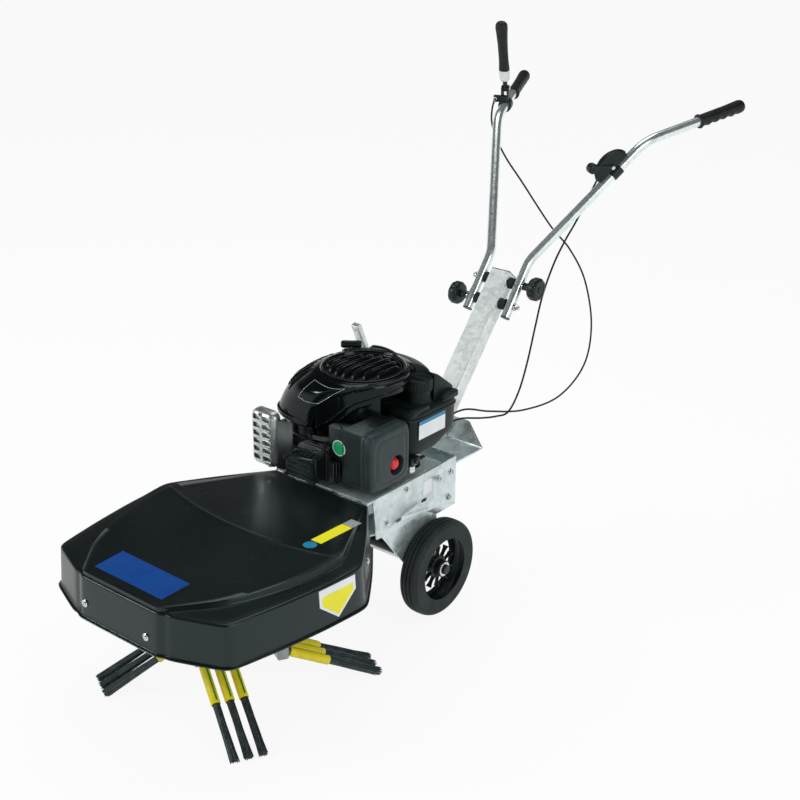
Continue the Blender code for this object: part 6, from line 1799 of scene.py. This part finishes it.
def make_column():
    foot_z = 0.3703
    length = (COLUMN_TOP.z - foot_z) / cos(TILT) + 0.03
    hw = COLUMN_W / 2
    hd = COLUMN_D / 2
    turn = Matrix.Translation(COLUMN_TOP) @ Matrix.Rotation(-TILT, 4, "X")
    body, bore = [loft([rounded_ring(0, 0, hw - wall, hd - wall, 14.0, level) for level in levels])
                  for wall, levels in ((0, (-length, -0.0004)), (0.003, (-length - 0.02, -0.004)))]
    body = carve(body, [bore, prism(column_slot(), "x", -0.1, 0.1),
        hole((0, 0, -LOWER_BOLT), "x", BOLT_ROOM, 0.1)])
    body.transform(turn)
    body = carve(body, [box((-0.1, -0.2, foot_z - 0.2), (0.1, 0.6, foot_z))])
    piece("column_tube", body, POST, ["column"], sharp=30.0)
    cap = rounded(box((-hw + 0.0008, -hd + 0.0008, -0.0006), (hw - 0.0008, hd - 0.0008, 0.0026)), 0.0016, 3)
    cap.transform(turn)
    piece("column_cap", cap, SATIN)
    weld = []
    for x, y in ((-hw, -hd), (hw, -hd), (hw, hd), (-hw, hd), (-hw, -hd)):
        top = COLUMN_TOP + Matrix.Rotation(-TILT, 3, "X") @ Vector((x, y, 0))
        weld.append(top - COLUMN_UP * ((top.z - foot_z - 0.002) / cos(TILT)))
    piece("column_weld", rod(weld, 0.0022), POST)
    label = box((hw - 0.0002, -0.012, -0.062), (hw + 0.0002, 0.01, -0.034))
    label.transform(turn)
    piece("column_label", label, PALE)


def make_buffers():
    inner = COLUMN_W / 2 + 0.0003
    wide = TUBE_X - TUBE_R - 0.0003 - inner
    profile = [(0.0045, 0), (0.0138, 0), (0.0148, 0.001), (0.015, 0.0022), (0.0142, wide * 0.4),
               (0.0142, wide * 0.6), (0.015, wide - 0.0022), (0.0148, wide - 0.001), (0.0138, wide),
               (0.0045, wide)]
    for label, distance in (("upper", UPPER_BOLT), ("lower", LOWER_BOLT)):
        for side_name, sign in SIDES:
            _, y, z = on_column(distance)
            buffer = turned(profile, 64, (sign * inner, y, z), (sign, 0, 0))
            name = "%s_%s" % (label, side_name)
            piece("buffer_rubber_" + name, buffer, RUBBER, ["buffer_" + name], body="handle")


def make_knob_nut(label, end):
    if label == "upper":
        return turned(plug_profile((0.006, end - 0.002), (0.0072, end - 0.001), (0.0072, end + 0.0066)), 6)
    dome = turned([(0, end - 0.006), (0.003, end - 0.0056), (0.0052, end - 0.004), (0.0062, end - 0.0014),
                   (0.0064, end + 0.0002), (0.0064, end + 0.0012), (0, end + 0.0012)], 40)
    hexagon = turned(plug_profile((0.007, end + 0.0008), (0.0074, end + 0.0016), (0.0074, end + 0.0066)), 6)
    return joined([dome, hexagon])


def make_clamp():
    """Rubber buffers, and the two bolts with scalloped hand knobs."""
    make_buffers()
    for label, distance, sign in (("upper", UPPER_BOLT, 1), ("lower", LOWER_BOLT, -1)):
        _, y, z = on_column(distance)
        face = KNOB_X - 0.013
        collar = TUBE_X + TUBE_R + 0.002
        end = -(TUBE_X + TUBE_R + 0.01)
        body = label + "_knob"
        node = "clamp_knob_" + label
        rings = []
        for level, radius, scallop in (
                (collar, 0.0098, 0.0), (collar + 0.0006, 0.0102, 0.0), (face - 0.0004, 0.0104, 0.0),
                (face, 0.018, 0.0), (face + 0.0012, 0.0262, 0.2), (face + 0.004, 0.0288, 0.7),
                (face + 0.0075, 0.03, 1.0), (face + 0.019, 0.03, 1.0), (face + 0.0225, 0.029, 0.8),
                (face + 0.025, 0.0262, 0.4), (face + 0.0262, 0.0225, 0.1), (face + 0.0262, 0.019, 0.0),
                (face + 0.0252, 0.018, 0.0), (face + 0.0252, 0.008, 0.0), (face + 0.0272, 0.007, 0.0)):
            ring = []
            for i in range(160):
                angle = 2 * pi * i / 160
                reach = radius - 0.0021 * scallop * max(cos(angle * 8), 0.0) ** 1.5
                ring.append((reach * cos(angle), reach * sin(angle), level))
            rings.append(ring)
        pose = facing((0, y, z), (sign, 0, 0))
        knob = loft(rings)
        knob.transform(pose)
        piece("knob_%s_plastic" % label, knob, SATIN, [node], sharp=40.0, body=body)
        washers = [turned([(0.0042, low), (radius, low), (radius, high), (0.0042, high)], 40)
                   for radius, low, high in ((0.01, end + 0.007, end + 0.0085),
                                             (0.011, collar - 0.0018, collar - 0.0002))]
        bolt = rod([(0, 0, end + 0.002), (0, 0, collar + 0.001)], 0.004, 24)
        metal = joined([bolt, *washers, make_knob_nut(label, end)])
        metal.transform(pose)
        piece("knob_%s_bolt" % label, metal, BOLT, [node], sharp=30.0, body=body)


def handle_corners(sign):
    foot = on_column(0.115, sign * TUBE_X)
    return [foot] + [Vector((sign * x, y, z)) for x, y, z in HANDLE_CORNERS]


def handle_spot(sign, back):
    """A point on the handle's straight end, with the directions along, across and up."""
    _, _, before, last = handle_corners(sign)
    direction = (last - before).normalized()
    side = direction.cross(Vector((0, 0, 1))).normalized()
    return last - direction * back, direction, side, side.cross(direction)


def frame_matrix(origin, side, along, up):
    pose = Matrix(((*side, 0), (*along, 0), (*up, 0), (0, 0, 0, 1))).transposed()
    pose.translation = origin
    return pose


def grip_mesh(start, direction, side, other):
    stations = [(0.0, 0.015), (0.0004, 0.0178), (0.0012, 0.0186), (0.0036, 0.0188), (0.005, 0.018),
        (0.0062, 0.0162), (0.008, 0.0157)]
    along = 0.011
    while along < 0.131:
        stations.append((along, 0.0157 + 0.0016 * min(max((along - 0.085) / 0.045, 0.0), 1.0) ** 1.4))
        along += 0.0024
    stations += [(0.1345, 0.0174), (0.1385, 0.017), (0.1425, 0.016), (0.146, 0.014), (0.1482, 0.011),
        (0.1494, 0.007), (0.1499, 0.0025)]
    sides = 64
    rings = []
    for at, radius in stations:
        ring = []
        inside = min(max((at - 0.012) / 0.012, 0.0), 1.0) * min(max((0.13 - at) / 0.012, 0.0), 1.0)
        for i in range(sides):
            angle = 2 * pi * i / sides
            below = max(-sin(angle), 0.0) ** 0.7
            wave = 0.0017 * cos(2 * pi * (at - 0.028) / 0.026) * below * inside
            rib = 0.00028 * cos(angle * 16) * inside * (1 - below)
            reach = radius + wave + rib
            ring.append(start + direction * at + side * reach * cos(angle) + other * reach * sin(angle))
        rings.append(ring)
    return loft(rings)


def make_handle():
    for side_name, sign in SIDES:
        path = arc_path(handle_corners(sign), (0.09, 0.13), 18)
        dense = []
        for a, b in zip(path, path[1:]):
            steps = max(1, int((b - a).length / 0.03))
            dense += [a.lerp(b, k / steps) for k in range(steps)]
        dense.append(path[-1])
        tube = pipe_mesh(dense, TUBE_R, TUBE_R - 0.0018, 48)
        tube = carve(tube, [hole(on_column(distance, sign * TUBE_X), "x", 0.0046, 0.03)
                            for distance in (UPPER_BOLT, LOWER_BOLT)])
        piece("handle_bar_" + side_name, tube, TUBE, ["handle_tube_" + side_name], body="handle")
        plug = turned([(0, -0.006), (0.0105, -0.006), (0.0107, 0.0), (0.0128, 0.0004), (0.013, 0.0014),
                       (0.0122, 0.0024), (0, 0.0028)], 48, dense[0], (dense[0] - dense[1]).normalized())
        piece("tube_plug_" + side_name, plug, SATIN, body="handle")
        piece("grip_%s_rubber" % side_name, grip_mesh(*handle_spot(sign, 0.134)), GRIP,
            ["grip_" + side_name],
              sharp=50.0, body="handle")


LEVER_RISE = 0.048
LEVER_LEN = 0.205


def make_perch(pose):
    """Collar on the handle with two ears, a stop and a pad, the cable's adjuster and the lever's pin."""
    parts = [turned(mirrored([(0.0128, 0.014), (0.0168, 0.014), (0.0182, 0.0128), (0.0186, 0.01)]), 64,
                    (0, 0, 0), (0, 1, 0))]
    for x in (0.0085, -0.0085):
        ear = [(-0.0125, 0.01), (-0.0115, 0.036)]
        for step in range(13):
            angle = radians(170 - 160 * step / 12)
            ear.append((0.0105 * cos(angle), LEVER_RISE + 0.008 * sin(angle)))
        ear += [(0.0115, 0.036), (0.0125, 0.01)]
        parts.append(rounded(prism(ear, "x", x - 0.002, x + 0.002), 0.0008, 2))
    parts.append(rounded(box((-0.03, -0.02, 0.0132), (0.0085, -0.011, 0.032)), 0.0022, 3))
    parts.append(rounded(box((-0.0105, -0.012, 0.014), (0.0105, 0.012, 0.024)), 0.003, 3))
    adjuster = turned([(0, -0.034), (0.003, -0.034), (0.0034, -0.03), (0.0034, -0.022), (0.005, -0.0215),
                       (0.005, -0.017), (0, -0.0165)], 32, (-0.0245, 0, 0.0235), (0, 1, 0))
    pin = turned([(0, -0.012), (0.0046, -0.0118), (0.005, -0.0108), (0.003, -0.0105), (0.003, 0.0105),
                  (0.005, 0.0108), (0.005, 0.0122), (0.0042, 0.013), (0, 0.0132)], 32, (0, 0, LEVER_RISE),
                 (1, 0, 0))
    body = joined(parts)
    for mesh in (body, adjuster, pin):
        mesh.transform(pose)
    piece("perch_body", body, SATIN, ["lever_perch"], sharp=38.0, body="handle")
    piece("cable_adjuster", adjuster, BOLT, body="handle")
    piece("lever_pin_bolt", pin, BOLT, body="handle")


def lever_ring(along, half_x, half_z, power=4.0):
    return rounded_ring(0, 0, half_x, half_z, power, along, 64, "y")


def make_lever():
    spot, direction, side, up = handle_spot(-1, 0.216)
    pose = frame_matrix(spot, side, direction, up)
    make_perch(pose)
    bar = loft([lever_ring(*station) for station in (
        (0.0, 0.005, 0.0066, 2.2), (0.01, 0.0054, 0.008, 2.4), (0.022, 0.0062, 0.0084, 3.0),
        (0.036, 0.01, 0.0084, 3.2), (0.052, 0.0122, 0.009, 3.0), (0.0575, 0.0125, 0.0094, 2.8),
        (0.0582, 0.014, 0.011, 2.6), (0.06, 0.0146, 0.0116, 2.5), (0.064, 0.0145, 0.0114, 2.4),
        (0.074, 0.0138, 0.0108, 2.3), (0.09, 0.0132, 0.0105, 2.2), (0.115, 0.0133, 0.0106, 2.2),
        (0.14, 0.0138, 0.011, 2.2), (0.165, 0.015, 0.012, 2.3), (0.186, 0.0165, 0.013, 2.4),
        (0.194, 0.0162, 0.0128, 2.3), (0.199, 0.0145, 0.0114, 2.2), (0.203, 0.0108, 0.0085, 2.1),
        (0.2046, 0.007, 0.0055, 2.0), (LEVER_LEN, 0.0028, 0.0022, 2.0))])
    bracket = loft([lever_ring(*station) for station in (
        (0.026, 0.008, 0.0092), (0.0275, 0.0122, 0.0104), (0.034, 0.0136, 0.0108), (0.05, 0.014, 0.0112),
        (0.0565, 0.014, 0.0112), (0.058, 0.013, 0.0104))])
    swung = pose @ Matrix.Translation((0, 0, LEVER_RISE)) @ Matrix.Rotation(radians(102.0), 4, "X")
    bar.transform(swung)
    bracket.transform(swung)
    boss = turned(mirrored([(0.0035, 0.0055), (0.0085, 0.0055), (0.0095, 0.0045)]), 48, (0, 0, LEVER_RISE),
                  (1, 0, 0))
    boss.transform(pose)
    piece("lever_arm", joined([bar, boss]), GRIP, ["clutch_lever"], sharp=40.0, body="clutch_handle")
    piece("lever_bracket", bracket, WHITE, sharp=40.0, body="clutch_handle")


def throttle_frame():
    a = Vector(HANDLE_CORNERS[0])
    b = Vector(HANDLE_CORNERS[1])
    along = (b - a).normalized()
    out = Vector((-0.45, -0.75, 0.55))
    out = (out - along * out.dot(along)).normalized()
    return frame_matrix(a.lerp(b, 0.75), along.cross(out), along, out)


def make_throttle():
    pose = throttle_frame()
    base = TUBE_R + 0.0003
    outline = [(-0.0495, base)]
    for i in range(49):
        angle = pi - pi * i / 48
        outline.append((0.0495 * cos(angle), base + 0.004 + 0.038 * sin(angle)))
    outline.append((0.0495, base))
    edge = []
    for i in range(41):
        angle = pi - pi * (i + 1) / 42
        edge.append((0.0, 0.0488 * cos(angle), base + 0.0045 + 0.0372 * sin(angle)))
    parts = [rounded(prism(outline, "x", -0.009, 0.009), 0.0022, 4), rod(edge, 0.0032)]
    for k in range(9):
        angle = radians(28 + 15.5 * k)
        line = [(0.0088, across * cos(angle), base + rise + tall * sin(angle))
                for across, rise, tall in ((0.02, 0.006, 0.018), (0.04, 0.005, 0.031))]
        parts.append(rod(line, 0.0011, 8))
    parts.append(turned(mirrored([(base, 0.015), (0.0152, 0.015), (0.016, 0.014)]), 48, (0, 0, 0),
        (0, 1, 0)))
    mesh = joined(parts)
    mesh.transform(pose)
    piece("throttle_body", mesh, SATIN, ["throttle_housing"], sharp=38.0, body="handle")
    pin_z = base + 0.008
    pin = turned([(0, 0.006), (0.003, 0.006), (0.003, 0.014), (0.0052, 0.0142), (0.0052, 0.0155),
        (0.004, 0.0165),
                  (0, 0.0166)], 32, (0, 0, pin_z), (1, 0, 0))
    pin.transform(pose)
    piece("throttle_screw", pin, BOLT, body="handle")
    near = 0.0095
    arm = rounded(box((near, -0.0065, -0.0065), (near + 0.004, 0.0065, 0.05)), 0.0015, 3)
    hub = turned([(0.0035, near), (0.008, near), (0.0085, near + 0.0008), (0.0085, near + 0.0034),
                  (0.008, near + 0.0042), (0.0035, near + 0.0042)], 48, (0, 0, 0), (1, 0, 0))
    knob = turned([(0, -0.012), (0.009, -0.012), (0.0112, -0.0112), (0.0128, -0.009), (0.0135, -0.006),
                   (0.0135, 0.007), (0.0128, 0.0096), (0.0108, 0.0116), (0.008, 0.0126), (0, 0.013)], 64,
                  (near - 0.002, 0, 0.056), (1, 0, 0))
    lever = joined([arm, hub, knob])
    lever.transform(pose @ Matrix.Translation((0, 0, pin_z)) @ Matrix.Rotation(radians(45), 4, "X"))
    piece("throttle_arm", lever, SATIN, ["throttle_lever"], sharp=40.0, body="throttle")


# Control cables

CLUTCH_CABLE = [(-0.2757, 0.8029, 1.1028), (-0.2735, 0.7945, 1.098), (-0.272, 0.785, 1.08),
    (-0.268, 0.78, 1.045), (-0.25, 0.779, 1.003), (-0.215, 0.783, 0.95), (-0.17, 0.797, 0.89),
    (-0.09, 0.829, 0.774), (-0.04, 0.862, 0.705), (0.0, 0.888, 0.615), (0.028, 0.893, 0.488),
    (0.045, 0.839, 0.385), (0.055, 0.699, 0.335), (0.058, 0.52, 0.352), (0.058, 0.36, 0.4),
    (0.056, 0.25, 0.44), (0.052, 0.16, 0.44), (0.05, 0.122, 0.43)]
THROTTLE_CABLE = [(0.1611, 0.6718, 0.997), (0.1542, 0.6685, 0.9823), (0.145, 0.6614, 0.9578),
    (0.1347, 0.649, 0.92), (0.122, 0.62, 0.865), (0.112, 0.59, 0.82), (0.106, 0.552, 0.765),
    (0.108, 0.505, 0.693), (0.108, 0.478, 0.614), (0.1, 0.462, 0.519), (0.092, 0.441, 0.441),
    (0.086, 0.405, 0.392), (0.08, 0.36, 0.392), (0.074, 0.3, 0.405), (0.068, 0.22, 0.428),
    (0.064, 0.16, 0.43), (0.062, 0.122, 0.424)]


def make_cables():
    for name, knots in (("clutch_cable", CLUTCH_CABLE), ("throttle_cable", THROTTLE_CABLE)):
        line = smooth_line(knots, 220)
        cable = piece(name + "_outer", rod(line, 0.0025, 16), RUBBER, [name], sharp=60.0, body=None)
        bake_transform(cable)
        for label, a, b, body in (("top", line[0], line[1], "handle"),
                ("end", line[-1], line[-2], "frame")):
            ferrule = turned([(0.0026, -0.001), (0.0036, -0.0008), (0.0038, 0.0), (0.0038, 0.009),
                              (0.0034, 0.01), (0.0026, 0.01)], 32, a, (b - a).normalized())
            piece("%s_ferrule_%s" % (name, label), ferrule, BOLT, body=body)


make_hood()
make_hood_labels()
make_hood_screws()
make_engine_plate()
make_rear_plate()
make_axle_bracket()
make_wheel("left", 1)
make_wheel("right", -1)
make_tufts()
make_drive()
bevelled_copy("brush_arm", "brush_arm_sheet", ZINC, "frame")
bevelled_copy("idler_arm", "idler_arm_sheet", ZINC, "idler_swing_arm", 0.0005)
make_engine_block()
make_exhaust()
make_rocker()
make_shroud()
make_air_cleaner()
make_tank()
make_fuel_parts()
make_starter()
make_column()
make_clamp()
make_handle()
make_lever()
make_throttle()
make_cables()
